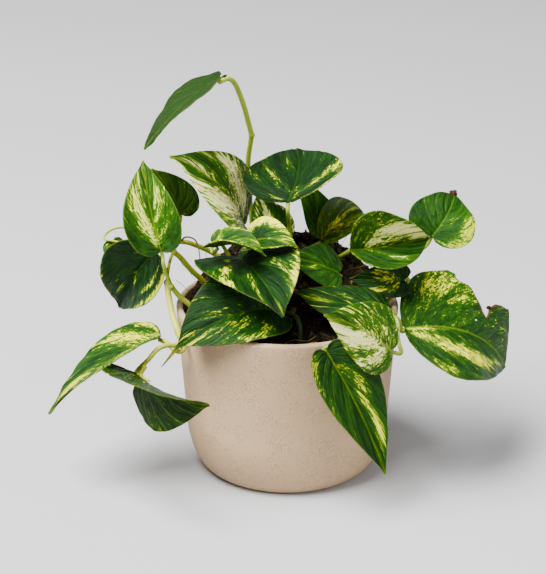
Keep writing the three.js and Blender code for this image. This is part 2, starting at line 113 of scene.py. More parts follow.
def tone(red, green, blue):
    """A colour as it looks on a screen, 0 to 255, as the linear value that shaders take."""
    linear = [((v / 255 + 0.055) / 1.055) ** 2.4 for v in (red, green, blue)]
    return (*linear, 1)


def add_node(tree, kind, inputs=None, **settings):
    """A shader node with its settings; each input is a value or the socket that feeds it."""
    node = tree.nodes.new("ShaderNode" + kind)
    for key, value in settings.items():
        setattr(node, key, value)
    for key, value in (inputs or {}).items():
        if isinstance(value, bpy.types.NodeSocket):
            tree.links.new(value, node.inputs[key])
        else:
            node.inputs[key].default_value = value
    return node


def new_group(name, inputs, outputs):
    """A shader node group with named sockets, and the two nodes that hold them."""
    tree = bpy.data.node_groups.new(name, "ShaderNodeTree")
    for way, sockets in (("INPUT", inputs), ("OUTPUT", outputs)):
        for socket, kind in sockets.items():
            tree.interface.new_socket(name=socket, in_out=way, socket_type="NodeSocket" + kind)
    return tree, tree.nodes.new("NodeGroupInput").outputs, tree.nodes.new("NodeGroupOutput").inputs


def new_material(name, **constants):
    """A material's node tree and its shader, with the values that are the same all over."""
    material = bpy.data.materials.new(name)
    material.use_nodes = True
    shader = material.node_tree.nodes["Principled BSDF"]
    for key, value in constants.items():
        shader.inputs[key.replace("_", " ")].default_value = value
    return material, material.node_tree, shader


def mixed(tree, share, first, second):
    """The colour that lies at share between two colours."""
    node = add_node(tree, "Mix", data_type="RGBA")
    for index, value in ((0, share), (6, first), (7, second)):
        if isinstance(value, bpy.types.NodeSocket):
            tree.links.new(value, node.inputs[index])
        else:
            node.inputs[index].default_value = value
    return node.outputs[2]


def eased(tree, value, low, high):
    """0 below low, 1 above high, and a smooth change between them."""
    return add_node(tree, "MapRange", {"Value": value, "From Min": low, "From Max": high},
                    interpolation_type="SMOOTHSTEP").outputs["Result"]


def ranged(tree, value, low, high, start, end):
    """Start below low, end above high, and a straight change between them."""
    return add_node(tree, "MapRange", {"Value": value, "From Min": low, "From Max": high,
                                       "To Min": start, "To Max": end}).outputs["Result"]


def maths(tree, operation, *values):
    """What one operation makes of numbers and sockets."""
    return add_node(tree, "Math", dict(enumerate(values)), operation=operation).outputs[0]


# Clay, peat and stalks all show a grain: soft mottling, a fine grit and scattered specks.
grain, grain_in, grain_out = new_group(
    "grain", {"Size": "Float", "Vector": "Vector"},
    {"Mottle": "Float", "Grit": "Float", "Specks": "Float"})
placed = add_node(grain, "VectorMath", {0: grain_in["Vector"], "Scale": grain_in["Size"]},
                  operation="SCALE")


def grain_noise(scale, detail, roughness=0.5):
    """Even noise, so many times as fine as a single grain."""
    return add_node(grain, "TexNoise", {"Vector": placed.outputs[0], "Scale": scale,
                                        "Detail": detail, "Roughness": roughness}).outputs["Fac"]


grain.links.new(grain_noise(0.06, 2), grain_out["Mottle"])
grain.links.new(grain_noise(1, 3, 0.7), grain_out["Grit"])
grain.links.new(eased(grain, grain_noise(0.7, 1), 0.66, 0.74), grain_out["Specks"])


def add_grain(tree, per_metre):
    """The grain group on the piece's own coordinates, with so many grains to the metre."""
    place = add_node(tree, "TexCoord").outputs["Object"]
    return add_node(tree, "Group", {"Size": per_metre, "Vector": place}, node_tree=grain).outputs


def bump(tree, shader, height, depth, strength=1.0):
    """Raises the surface by a height, so many metres deep."""
    node = add_node(tree, "Bump", {"Height": height, "Distance": depth, "Strength": strength})
    tree.links.new(node.outputs["Normal"], shader.inputs["Normal"])


def dress(tree, shader, colour, grit, roughness, depth, strength=1.0):
    """Gives a material its colour, and a roughness and a relief that follow the grain's grit."""
    tree.links.new(colour, shader.inputs["Base Color"])
    tree.links.new(ranged(tree, grit, 0, 1, *roughness), shader.inputs["Roughness"])
    bump(tree, shader, grit, depth, strength)


def clay_material():
    """Dry sandy beige clay with a few darker specks."""
    material, tree, shader = new_material("pot_clay", Specular_IOR_Level=0.35)
    sand = add_grain(tree, 1250)
    body = mixed(tree, eased(tree, sand["Grit"], 0.38, 0.62), tone(158, 128, 94), tone(203, 174, 137))
    body = mixed(tree, eased(tree, sand["Mottle"], 0.3, 0.7), body, tone(189, 158, 121))
    body = mixed(tree, sand["Specks"], body, tone(150, 120, 90))
    dress(tree, shader, body, sand["Grit"], (0.62, 0.86), 0.0004, 0.55)
    return material


pot_piece = add_piece("pot_body", turned(pot_profile(), POT_STEPS), "pot_ceramic", clay_material())
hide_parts("pot")

# ---------------------------------------------------------------- soil
# A root ball of dark peat that domes above the rim at the back and is scooped out in front. It
# is one lumpy mound, with peat crumbs, bark chips, moss and loose root fibres lying on it.
SOIL = dict(hollow=101, shoulder=104, dome=36, centre_y=28, reach=66, power=2.2, lump=1.1,
            radius=64.4, gap=0.3, side=4, rounding=3.5)
MOUND_STEPS, TOP_ROWS, SIDE_ROWS, SOIL_CORNER_STEPS = 240, 48, 14, 8
# The noises that roughen the mound: how far each moves the soil, and its waves to a millimetre.
ROUGH_TOP, FINE_TOP, ROUGH_SIDE, FINE_SIDE = (0.8, 0.45), (0.5, 1.1), (1.6, 0.3), (0.8, 1)
# Bits on top stay off the mound's edge; those on its side lie a little way in, lean up, and need
# a side that stands so far above the rim.
BITS_INSET, SIDE_INSET, SIDE_LEAN, LEAST_SIDE = 3, 1.2, 20, 3
MOSS_BLADES, MOSS_ROOT, MOSS_POINT = 11, 0.22, 0.04
# Heights over which the soil goes from painted shade low in the hollow up to its own colour.
SHADE_HEIGHTS = (104 * MM, 124 * MM)
noise.seed_set(7)


def soil_top(x, y):
    """Height of the mound's surface, in millimetres, with its coarse and its fine lumps."""
    reach = math.hypot(x, y - SOIL["centre_y"]) / SOIL["reach"]
    height = SOIL["shoulder"] + SOIL["dome"] * (1 - reach ** SOIL["power"])
    coarse = math.sin(x * 0.31 + y * 0.17) * math.sin(y * 0.29 - x * 0.11)
    fine = math.sin(x * 0.83 + 1.3) * math.sin(y * 0.77 + x * 0.25)
    return max(height, SOIL["hollow"]) + SOIL["lump"] * (coarse + 0.7 * fine)


def roughness_at(x, y, z, rough):
    """The mound's noise at a place, in millimetres."""
    height, waves = rough
    return height * noise.noise(Vector((x, y, z)) * waves)


def mound_profile():
    """From the pot's floor up its inside to the steep side, and in over the top to the middle."""
    profile = [(0, POT["floor"] + SOIL["gap"])] + inner_corner(SOIL["gap"], SOIL_CORNER_STEPS)
    side_low = SOIL["hollow"] - SOIL["side"]
    for row in range(SIDE_ROWS):
        profile.append((SOIL["radius"], side_low + SOIL["side"] * row / SIDE_ROWS))
    for row in range(TOP_ROWS, -1, -1):
        profile.append((SOIL["radius"] * row / TOP_ROWS, SOIL["hollow"]))
    return profile


def soil_mound():
    """The root ball: it fills the pot's inside, and its top is raised to the mound's height."""
    side_low = SOIL["hollow"] - SOIL["side"]
    mound = turned(mound_profile(), MOUND_STEPS)
    for vertex in mound.verts:
        x, y, z = vertex.co / MM
        if z < side_low - 0.01:
            continue
        top = soil_top(x, y) + roughness_at(x, y, 0, ROUGH_TOP) + roughness_at(x, y, 5, FINE_TOP)
        edge = max(0, math.hypot(x, y) - SOIL["radius"] + SOIL["rounding"]) / SOIL["rounding"]
        if top > POT["height"]:
            top -= SOIL["rounding"] * (1 - math.sqrt(max(0, 1 - edge * edge)))
        share = min(1, (z - side_low) / SOIL["side"])
        z = side_low + share * (top - side_low)
        pulled = edge * (1 + roughness_at(x, y, z, ROUGH_SIDE) + roughness_at(x, y, z, FINE_SIDE))
        inward = 1 - max(0, pulled) / SOIL["radius"]
        vertex.co = Vector((x * inward, y * inward, z)) * MM
    return mound


def soil_spot(dice, home):
    """A random place on the mound around its home, and a turn that leans with its slope."""
    middle_x, middle_y, reach = home
    while True:
        x, y = (middle + dice.uniform(-reach, reach) for middle in (middle_x, middle_y))
        on_top = math.hypot(x, y) < SOIL["radius"] - BITS_INSET
        if on_top and math.hypot(x - middle_x, y - middle_y) < reach:
            break
    slope = Vector((soil_top(x - 1, y) - soil_top(x + 1, y),
                    soil_top(x, y - 1) - soil_top(x, y + 1), 2))
    lean = slope.to_track_quat("Z", "Y").to_matrix().to_4x4()
    return Matrix.Translation(Vector((x, y, soil_top(x, y))) * MM), lean


def side_spot(dice):
    """A random place on the mound's steep side, where it stands above the rim at the back."""
    top = 0
    while top < POT["height"] + LEAST_SIDE:
        angle = dice.uniform(0, math.pi)
        x, y = ((SOIL["radius"] - SIDE_INSET) * way for way in (math.cos(angle), math.sin(angle)))
        top = soil_top(x, y)
    lean = Vector((x, y, SIDE_LEAN)).to_track_quat("Z", "Y").to_matrix().to_4x4()
    return Matrix.Translation(Vector((x, y, dice.uniform(POT["height"] - 1, top - 2))) * MM), lean


def scatter(name, count, seed, size, shape_of, slot, material, homes):
    """Many small bits on the mound as one piece, each with its own shade in the tint attribute.
    A home is the middle and the reach of a patch on top, or None for the steep side."""
    dice = random.Random(seed)
    bits = bmesh.new()
    tint = bits.verts.layers.float.new("tint")
    for index in range(count):
        home = homes[index % len(homes)]
        place, lean = soil_spot(dice, home) if home else side_spot(dice)
        shade = dice.random()
        for vertex in shape_of(bits, place, lean, dice.uniform(*size) * MM, dice):
            vertex[tint] = shade
    return add_piece(name, bits, slot, material)


def spun(dice):
    """A random turn about the upright axis."""
    return Matrix.Rotation(dice.uniform(0, 6.28), 4, "Z")


def pushed(verts, waves, reach):
    """The corners of a bit, each pushed about by a noise with so many waves to the metre."""
    for vertex in verts:
        vertex.co += noise.noise_vector(vertex.co * waves) * reach
    return verts


def crumb(bits, place, lean, size, dice):
    """A lump of peat: a coarse ball with its corners pushed about."""
    turn = place @ lean @ spun(dice)
    flat = Matrix.Diagonal((size, size * dice.uniform(0.6, 0.95), size * dice.uniform(0.45, 0.8), 1))
    made = bmesh.ops.create_icosphere(bits, subdivisions=1, radius=1, matrix=turn @ flat)
    return pushed(made["verts"], 900, 0.35 * size)


def chip(bits, place, lean, size, dice):
    """A sliver of bark: a thin block with its corners cut and pushed about."""
    turn = place @ Matrix.Translation((0, 0, 0.6 * MM)) @ lean @ spun(dice)
    tilt = Matrix.Rotation(dice.uniform(-0.5, 0.5), 4, "Y")
    flat = Matrix.Diagonal((size, size * dice.uniform(0.25, 0.5), size * 0.16, 1))
    made = bmesh.ops.create_cube(bits, size=2, matrix=turn @ tilt @ flat)
    return pushed(made["verts"], 700, 0.3 * size)


def moss_tuft(bits, place, lean, size, dice):
    """A tuft of moss: a handful of thin pointed blades that lean out from one root."""
    made = []
    for _ in range(MOSS_BLADES):
        turn = lean @ spun(dice) @ Matrix.Rotation(dice.uniform(0.1, 1.1), 4, "X")
        length = size * dice.uniform(0.6, 1.3)
        lift = Matrix.Translation((0, 0, length * 0.4))
        blade = bmesh.ops.create_cone(bits, segments=4, cap_ends=True, depth=length,
                                      radius1=MOSS_ROOT * MM, radius2=MOSS_POINT * MM,
                                      matrix=place @ turn @ lift)
        made += blade["verts"]
    return made


def darkened_in_shade(tree, colour):
    """The colour, darkened low down in the hollow as painted shade."""
    place = add_node(tree, "TexCoord").outputs["Object"]
    height = add_node(tree, "SeparateXYZ", {"Vector": place}).outputs["Z"]
    return mixed(tree, ranged(tree, height, *SHADE_HEIGHTS, 0.3, 1.0), tone(7, 6, 3), colour)


def crumbly_material(name, dark, light, per_metre):
    """Crumbly matte stuff, whose shade follows each bit's tint and a grain, darkened low in the hollow
    as painted shade.
    """
    material, tree, shader = new_material(name, Specular_IOR_Level=0.15)
    earth = add_grain(tree, per_metre)
    tint = add_node(tree, "Attribute", attribute_name="tint").outputs["Fac"]
    shade = maths(tree, "MULTIPLY", tint, earth["Grit"])
    base = mixed(tree, eased(tree, shade, 0.05, 0.6), dark, light)
    dress(tree, shader, darkened_in_shade(tree, base), earth["Grit"], (0.8, 1.0), 0.0008)
    return material


def peat_material():
    """The mound itself: near-black peat with rusty and olive patches, darkened low in the hollow as
    painted shade.
    """
    material, tree, shader = new_material("peat", Specular_IOR_Level=0.15)
    earth = add_grain(tree, 900)
    base = mixed(tree, eased(tree, earth["Grit"], 0.35, 0.65), tone(14, 10, 6), tone(60, 46, 29))
    base = mixed(tree, eased(tree, earth["Mottle"], 0.52, 0.66), base, tone(34, 34, 10))
    base = mixed(tree, earth["Specks"], base, tone(96, 66, 36))
    dress(tree, shader, darkened_in_shade(tree, base), earth["Grit"], (0.85, 1.0), 0.0015)
    return material


mound_piece = add_piece("soil_mound", soil_mound(), "soil", peat_material())
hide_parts("soil")
WHOLE_TOP = (0, 0, 61)
scatter("peat_crumbs", 2800, 11, (0.6, 1.9), crumb, "soil",
        crumbly_material("crumb_peat", tone(14, 10, 6), tone(98, 76, 52), 1400),
        (WHOLE_TOP, WHOLE_TOP, None))
scatter("bark_chips", 200, 12, (1.4, 3.8), chip, "soil",
        crumbly_material("bark", tone(44, 28, 16), tone(146, 112, 80), 1100),
        (WHOLE_TOP, WHOLE_TOP, WHOLE_TOP, None))
scatter("moss", 220, 13, (1.2, 2.8), moss_tuft, "soil",
        crumbly_material("moss_green", tone(30, 44, 4), tone(116, 134, 14), 1600),
        (WHOLE_TOP, (-56, -8, 14), (24, -52, 14), (44, 34, 16), None))

# ---------------------------------------------------------------- leaf blades
# Soft leathery blades, egg-shaped to heart-shaped, each folded along its midrib, bent and twisted
# in its own way. Each is one sheet with sunken veins, splashed with yellow and cream along them.

# base, tip, width and sway are millimetres, face is where the upper side looks, and fold, bend, curl
# and twist are degrees. lobes is 0 for an egg-shaped base and 1 for a heart-shaped one, and blunt
# squares off the left and the right half. finish names the greens where they aren't the slot's;
# the lighter greens given to leaves in shade (behind, back_narrow, back_folded, middle_dark) are
# painted light. pale is how far the whole blade is from green to cream, and gold how yellow its
# pale parts are. splashes, and the dried scorched spots, are (across, along, reach across, reach
# along, strength).
LEAVES = {
    "arch": dict(
        base=(-42, 21.5, 248), tip=(-88, 3, 208), face=(-0.6, -0.1, 0.8), width=47, fold=9, bend=26,
        curl=-3, twist=9, sway=0, lobes=0.5, slot="leaf_green", finish="leaf_tall", pale=-0.35,
        gold=0.9,
        splashes=[(0, 0.04, 0.5, 0.1, 0.3)]),
    "upright": dict(
        base=(-78, -16, 149), tip=(-90, 18, 196), face=(-0.1, -0.8, 0.6), width=43, fold=31, bend=25,
        curl=12, twist=5, sway=-1, lobes=0.4, slot="leaf_cream", pale=0.08, gold=0.6,
        splashes=[(-0.7, 0.68, 0.35, 0.12, 0.75), (-0.35, 0.52, 0.22, 0.1, 0.7),
            (-0.12, 0.36, 0.1, 0.14, 0.6), (0.5, 0.63, 0.45, 0.07, 0.65), (0.25, 0.45, 0.3, 0.05, 0.3),
            (-0.55, 0.9, 0.4, 0.06, 0.5), (0.3, 0.86, 0.3, 0.06, 0.4), (-0.6, 0.22, 0.5, 0.2, -0.2),
            (0.5, 0.2, 0.4, 0.15, -0.1)]),
    "behind": dict(
        base=(-68, 22, 159), tip=(-85, 23, 189), face=(0.3, -0.9, 0.2), width=30, fold=18, bend=30,
        curl=3, twist=0, sway=2, lobes=1.1, slot="leaf_dark", finish="leaf_tall", pale=0.1, gold=0.9,
        splashes=[]),
    "cream": dict(
        base=(-27, 24, 151), tip=(-72, -1, 205), face=(0.8, -0.5, 0.4), width=55, fold=13, bend=42,
        curl=-1, twist=23, sway=4, lobes=0.1, slot="leaf_cream", pale=0.22, gold=0.05,
        splashes=[(-0.6, 0.6, 0.4, 0.1, 0.9), (-0.15, 0.52, 0.2, 0.08, 0.8),
            (-0.5, 0.82, 0.3, 0.07, -0.3), (-0.95, 0.85, 0.12, 0.2, 0.6), (0.2, 0.82, 0.25, 0.08, 0.7),
            (0.6, 0.72, 0.4, 0.05, -0.25), (0.35, 0.48, 0.2, 0.07, 0.9), (0.75, 0.6, 0.2, 0.07, 0.9),
            (0.3, 0.35, 0.2, 0.1, 0.5), (-0.5, 0.3, 0.4, 0.12, 0.3)]),
    "crown": dict(
        base=(0, -8, 178), tip=(6, 64, 189), face=(-0.1, -0.1, 1), width=65, fold=17, bend=12, curl=2,
        twist=-5, sway=4, lobes=0.3, slot="leaf_dark", pale=0, gold=0.5,
        splashes=[(-0.5, 0.53, 0.5, 0.035, 0.5), (-0.3, 0.2, 0.15, 0.07, 0.55),
            (0.85, 0.5, 0.25, 0.04, 0.7), (0.45, 0.42, 0.2, 0.05, 0.55), (0.15, 0.25, 0.08, 0.14, 0.5),
            (-0.3, 0.9, 0.25, 0.04, 0.5), (0.6, 0.83, 0.3, 0.03, 0.3), (-0.8, 0.45, 0.3, 0.04, 0.3),
            (0.98, 0.25, 0.1, 0.25, 0.6), (-0.4, 0.7, 0.3, 0.1, 0.2)]),
    "inner": dict(
        base=(-8, 10, 145), tip=(-19, 39, 167), face=(0.3, -0.5, 0.8), width=30, fold=12, bend=44,
        curl=-1, twist=-1, sway=0, lobes=0.3, slot="leaf_cream", pale=0.05, gold=0.2,
        splashes=[(-0.05, 0.65, 0.3, 0.3, 1.2), (-0.75, 0.6, 0.15, 0.15, 0.5),
            (0.95, 0.5, 0.08, 0.3, 0.7)]),
    "curled": dict(
        base=(-44, -30, 157), tip=(-13, -44, 156), face=(0, -0.1, 1), width=25, fold=28, bend=59,
        curl=10, twist=4, sway=0, lobes=0.9, slot="leaf_green", pale=0.14, gold=0.5,
        splashes=[(-0.3, 0.75, 0.25, 0.12, 0.4), (-0.35, 0.3, 0.35, 0.08, 0.5),
            (-0.4, 0.45, 0.3, 0.07, -0.35), (-1, 0.45, 0.15, 0.25, 0.5), (1, 0.5, 0.15, 0.3, 0.5)]),
    "drooping": dict(
        base=(-25, -12, 152), tip=(6, -27, 155), face=(-0.3, -0.4, 0.9), width=30, fold=19, bend=54,
        curl=3, twist=5, sway=-2, lobes=0.4, slot="leaf_yellow", pale=0.06, gold=0.35,
        splashes=[(-0.9, 0.42, 0.3, 0.3, 1.4), (-0.35, 0.45, 0.3, 0.12, -0.15),
            (-0.1, 0.77, 0.6, 0.05, 0.45), (0.2, 0.6, 0.4, 0.06, -0.15), (0.5, 0.3, 0.4, 0.08, 0.3),
            (0.97, 0.5, 0.06, 0.4, 0.6)],
        scorched=[(0, 1, 0.8, 0.08, 1)]),
    "center": dict(
        base=(-31, -14, 144), tip=(-3, -78, 131), face=(0, -0.2, 1), width=63, fold=11, bend=31,
        curl=-2, twist=5, sway=-1, lobes=1, slot="leaf_dark", pale=-0.02, gold=0.5,
        splashes=[(-0.85, 0.66, 0.22, 0.1, 0.5), (-0.5, 0.56, 0.3, 0.07, 0.4),
            (-0.97, 0.5, 0.08, 0.3, 0.6), (-0.35, 0.88, 0.45, 0.06, 0.45),
            (0.4, 0.66, 0.2, 0.035, 0.65), (0.75, 0.76, 0.25, 0.035, 0.6),
            (0.33, 0.38, 0.08, 0.08, 0.6), (0.6, 0.5, 0.15, 0.05, 0.75), (0.92, 0.58, 0.1, 0.08, 0.8),
            (-0.6, 0.25, 0.45, 0.06, 0.2)]),
    "lower_left": dict(
        base=(-12, -34.5, 118), tip=(-68, -53, 100), face=(-0.1, -0.6, 0.8), width=59, fold=17,
        bend=47, curl=2, twist=3, sway=2, lobes=0.9, slot="leaf_dark", pale=0.08, gold=0.95,
        splashes=[(-0.8, 0.8, 0.3, 0.05, 0.35), (-0.8, 0.45, 0.25, 0.08, 0.45),
            (-0.35, 0.6, 0.35, 0.08, 0.22), (0.3, 0.85, 0.5, 0.035, 0.35),
            (0.3, 0.68, 0.25, 0.05, 0.25), (0.5, 0.3, 0.5, 0.1, 0.15)]),
    "left_dark": dict(
        base=(-84, 4, 140), tip=(-108, 25, 94), face=(-0.5, -0.9, -0.1), width=50, fold=27, bend=31,
        curl=9, twist=4, sway=2, lobes=0.5, slot="leaf_dark", pale=0, gold=1,
        splashes=[(-0.98, 0.36, 0.12, 0.26, 1.4), (-0.62, 0.48, 0.07, 0.13, 0.75),
            (-0.55, 0.28, 0.05, 0.1, 0.6), (-0.2, 0.62, 0.2, 0.02, 0.4), (0.3, 0.72, 0.2, 0.025, 0.6),
            (0.97, 0.7, 0.06, 0.3, 0.35)]),
    "low_long": dict(
        base=(-79, -28, 97), tip=(-149, -41, 50), face=(-0.6, 0, 0.8), width=59, fold=18, bend=28,
        curl=-8, twist=3, sway=1, lobes=0.1, slot="leaf_yellow", pale=0.13, gold=0.5,
        splashes=[(0.5, 0.45, 0.4, 0.06, 0.75), (0.8, 0.22, 0.4, 0.1, 0.7),
            (0.1, 0.15, 0.15, 0.15, 0.5), (0.4, 0.8, 0.3, 0.08, 0.7), (0.7, 0.34, 0.3, 0.04, -0.2),
            (0.4, 0.62, 0.4, 0.05, -0.25), (-0.5, 0.4, 0.5, 0.2, 0.2)]),
    "low_folded": dict(
        base=(-90, -50, 80), tip=(-46, -104, 86), face=(0.6, 0.6, 0.5), width=57, fold=-35, bend=-26,
        curl=1, twist=4, sway=1, lobes=1.3, slot="leaf_green", finish="leaf_dark", pale=0.1, gold=0.9,
        splashes=[(0.3, 0.9, 0.5, 0.08, 0.5)]),
    "far_left": dict(
        base=(-111, 23, 140), tip=(-104, 17, 124), face=(-0.1, -0.9, 0.3), width=15, fold=12, bend=21,
        curl=-2, twist=0, sway=0, lobes=0.8, slot="leaf_green", pale=0.12, gold=0.9,
        splashes=[(0.5, 0.5, 0.3, 0.05, 0.5)]),
    "back_narrow": dict(
        base=(21, 35, 140), tip=(8, 50, 175), face=(0.4, -0.8, 0.5), width=30, fold=33, bend=9,
        curl=14, twist=2, sway=0, lobes=0.3, slot="leaf_dark", finish="leaf_shade_lifted", pale=0.02,
        gold=0.5,
        splashes=[]),
    "back_folded": dict(
        base=(21, 14, 144), tip=(50, 55, 148), face=(0.5, -0.4, 0.8), width=41, fold=42, bend=27,
        curl=20, twist=-1, sway=-3, lobes=0.3, slot="leaf_dark", finish="leaf_tall", pale=0.16,
        gold=0.1,
        splashes=[(-0.5, 0.7, 0.6, 0.045, 0.5), (-0.1, 0.6, 0.12, 0.1, 0.45),
            (0.4, 0.55, 0.35, 0.09, 0.4), (0, 0.35, 0.06, 0.2, 0.6)]),
    "right_cream": dict(
        base=(39, -4, 145), tip=(90, 18, 145), face=(0.3, -0.8, 0.5), width=57, fold=40, bend=24,
        curl=19, twist=-14, sway=2, lobes=0, slot="leaf_cream", pale=0.18, gold=0.35,
        splashes=[(-0.7, 0.68, 0.3, 0.08, 0.9), (-0.5, 0.57, 0.35, 0.06, 0.8),
            (-0.15, 0.6, 0.15, 0.1, 0.4), (-0.6, 0.85, 0.4, 0.06, 0.8), (0.5, 0.5, 0.55, 0.4, -0.3),
            (0.62, 0.6, 0.25, 0.035, 0.75)]),
    "right_round": dict(
        base=(92, 23, 144), tip=(108, 56, 161), face=(0.3, -0.5, 0.8), width=44, fold=9, bend=51,
        curl=3, twist=0, sway=2, lobes=0.7, slot="leaf_green", pale=0.02, gold=1,
        splashes=[(0.85, 0.5, 0.25, 0.16, 0.9), (0.9, 0.25, 0.3, 0.1, 0.8),
            (0.45, 0.12, 0.3, 0.05, 0.4), (0.3, 0.6, 0.2, 0.1, 0.2)],
        scorched=[(0.2, 1, 0.8, 0.09, 1)]),
    "small_right": dict(
        base=(73, -2, 124), tip=(39, -3, 125), face=(0, -0.9, 0.3), width=23, fold=15, bend=28, curl=1,
        twist=-2, sway=0, lobes=0.9, slot="leaf_yellow", finish="leaf_dark", pale=0, gold=0.3,
        splashes=[(-0.7, 0.6, 0.35, 0.1, 0.85), (0, 0.55, 0.25, 0.12, 1), (0.6, 0.6, 0.3, 0.06, 0.9),
            (-0.3, 0.4, 0.35, 0.05, 0.6)]),
    "middle_dark": dict(
        base=(32, -5, 130), tip=(-1, -14, 144), face=(0.4, -0.6, 0.7), width=30, fold=6, bend=17,
        curl=-6, twist=8, sway=1, lobes=0.5, slot="leaf_dark", finish="leaf_green", pale=0.03, gold=1,
        splashes=[(-0.4, 0.64, 0.1, 0.03, 0.5)]),
    "middle_low": dict(
        base=(60, -30, 115), tip=(4, -31, 128), face=(0.2, -0.4, 0.9), width=38, fold=1, bend=5,
        curl=-10, twist=21, sway=-2, lobes=0.6, slot="leaf_dark", pale=0.06, gold=0.9,
        splashes=[(-0.5, 0.45, 0.6, 0.16, 0.25), (-0.5, 0.2, 0.5, 0.035, 0.4),
            (0.1, 0.33, 0.15, 0.04, 0.5), (0.5, 0.6, 0.2, 0.03, 0.4), (-0.5, 0.85, 0.6, 0.05, 0.45),
            (0, 0.75, 0.4, 0.04, 0.35)]),
    "front_cream": dict(
        base=(61, -71.4, 106.6), tip=(21, -91.4, 137.6), face=(0.5, -0.8, 0.35), width=41, fold=1,
        bend=0, curl=-9, twist=-9, sway=3, lobes=0.6, slot="leaf_cream", pale=0.18, gold=0.15,
        splashes=[(-0.75, 0.74, 0.45, 0.12, 1.2), (-0.35, 0.6, 0.3, 0.08, 1),
            (-0.75, 0.5, 0.3, 0.05, 0.1), (-0.6, 0.4, 0.4, 0.06, 0.7), (-0.2, 0.4, 0.15, 0.1, 0.5),
            (0.5, 0.55, 0.5, 0.1, 0.2), (0.95, 0.25, 0.12, 0.1, 0.7)]),
    "hanging": dict(
        base=(23, -72.4, 105.8), tip=(59, -83.4, 29.8), face=(0.45, -1, 0.2), width=42, fold=20,
        bend=7, curl=8, twist=-2, sway=-2, lobes=0.5, slot="leaf_dark", finish="leaf_yellow",
        pale=0.02, gold=0.55,
        splashes=[(-0.65, 0.72, 0.22, 0.06, 0.95), (-0.4, 0.5, 0.25, 0.1, 0.35),
            (-0.35, 0.62, 0.2, 0.06, 0.4), (0.85, 0.25, 0.25, 0.07, 0.45),
            (0.2, 0.89, 0.4, 0.012, 0.6), (0.9, 0.45, 0.1, 0.2, 0.25)]),
    "big_right": dict(
        base=(72.5, -30, 103), tip=(140.5, 7, 61.5), face=(0.6, -0.4, 0.7), width=88, fold=6, bend=62,
        curl=-3, twist=-36, sway=-4, lobes=0.1, blunt=(1.3, 0.2), slot="leaf_yellow", pale=0.1,
        gold=0.5,
        splashes=[(-0.75, 0.52, 0.3, 0.05, 0.5), (-0.75, 0.42, 0.3, 0.04, 0.5),
            (-0.6, 0.63, 0.2, 0.05, 0.4), (0.22, 0.33, 0.1, 0.1, 0.9), (0.42, 0.5, 0.13, 0.09, 1),
            (0.6, 0.64, 0.14, 0.09, 0.9), (0.62, 0.8, 0.1, 0.1, 0.5), (0.88, 0.38, 0.1, 0.09, 0.55),
            (0.05, 0.3, 0.04, 0.22, 0.8), (0.8, 0.7, 0.1, 0.1, 0.3), (0.6, 0.5, 0.5, 0.4, -0.14),
            (-0.4, 0.9, 0.5, 0.12, 0.1)],
        scorched=[(-0.95, 0.78, 0.25, 0.1, 0.42), (-0.5, 0.86, 0.3, 0.05, 0.42)]),
}

# Each row crosses the blade from margin to margin, bowed forward like its side veins. The lists
# say how far along the blade it meets the midrib and the margin, and the half width there.
ROW_AT_MIDRIB = (0, 0.005, 0.02, 0.07, 0.15, 0.29, 0.48, 0.72, 0.87, 1)
OUTLINES = {
    "egg": ((0, 0.01, 0.06, 0.16, 0.29, 0.47, 0.66, 0.83, 0.93, 1),
            (0.05, 0.34, 0.7, 0.93, 1, 0.86, 0.6, 0.3, 0.11, 0.02)),
    "heart": ((-0.09, -0.115, -0.045, 0.1, 0.27, 0.47, 0.66, 0.83, 0.93, 1),
              (0.26, 0.52, 0.82, 0.98, 1, 0.86, 0.6, 0.3, 0.11, 0.02)),
    "blunt": ((0, 0.01, 0.06, 0.16, 0.29, 0.46, 0.64, 0.82, 0.93, 1),
              (0.05, 0.34, 0.7, 0.93, 1, 0.98, 0.9, 0.74, 0.52, 0.02)),
}
BLADE_THICKNESS, BLADE_WAVE, BLADE_WAVES, WAVE_LAG = 0.6, 0.6, 2.3, 1.3
BLADE_COLUMNS, BLADE_ROWS, BLADE_CROWDING, LEAST_BEND = 52, 96, 1.25, 0.5
MIDRIB_GROOVE, GROOVE_WIDTH, QUILT, QUILT_ROUND = 0.6, 1.3, 0.55, 0.6
VEINS_ACROSS, VEIN_BOW, SPLASH = 8, 0.18, 0.7
# Slow and quick warps, as height and waves to a millimetre, and how far apart the leaves read
# the warps, in millimetres, and the streaks, in metres.
WARP, QUICK_WARP, WARP_STEP, STREAK_STEP = (1.1, 0.08), (0.35, 0.21), 20, 0.3


def between(values, row):
    """A smooth curve through evenly spaced values, read at a row that need not be whole."""
    last = len(values) - 1
    low = min(int(row), last - 1)
    part = row - low
    a, b, c, d = (values[min(max(low + step, 0), last)] for step in (-1, 0, 1, 2))
    slope_b, slope_c = (c - a) / 2, (d - b) / 2
    curve = (2 * part ** 3 - 3 * part ** 2 + 1) * b + (part ** 3 - 2 * part ** 2 + part) * slope_b
    return curve + (3 * part ** 2 - 2 * part ** 3) * c + (part ** 3 - part ** 2) * slope_c


def leaf_axes(leaf):
    """The blade's base, its directions along, out of the upper side and across, and its bend."""
    base, along = Vector(leaf["base"]), Vector(leaf["tip"]) - Vector(leaf["base"])
    length = along.length
    along.normalize()
    out = Vector(leaf["face"])
    out = (out - along * out.dot(along)).normalized()
    bend = math.radians(leaf["bend"] if abs(leaf["bend"]) > LEAST_BEND else LEAST_BEND)
    return base, along, out, along.cross(out), length, bend


def blade_outline(leaf, side, time):
    """How far along the length a place on the blade lies, and how far out from the midrib."""
    row = time * (len(ROW_AT_MIDRIB) - 1)
    midrib = between(ROW_AT_MIDRIB, row)
    bluntness = leaf.get("blunt", (0, 0))[side > 0]
    margin, wide = (
        between(egg, row) + leaf["lobes"] * (between(heart, row) - between(egg, row))
        + bluntness * (between(blunt, row) - between(egg, row))
        for egg, heart, blunt in zip(OUTLINES["egg"], OUTLINES["heart"], OUTLINES["blunt"]))
    return midrib + abs(side) * (margin - midrib), abs(side) * wide * leaf["width"] / 2


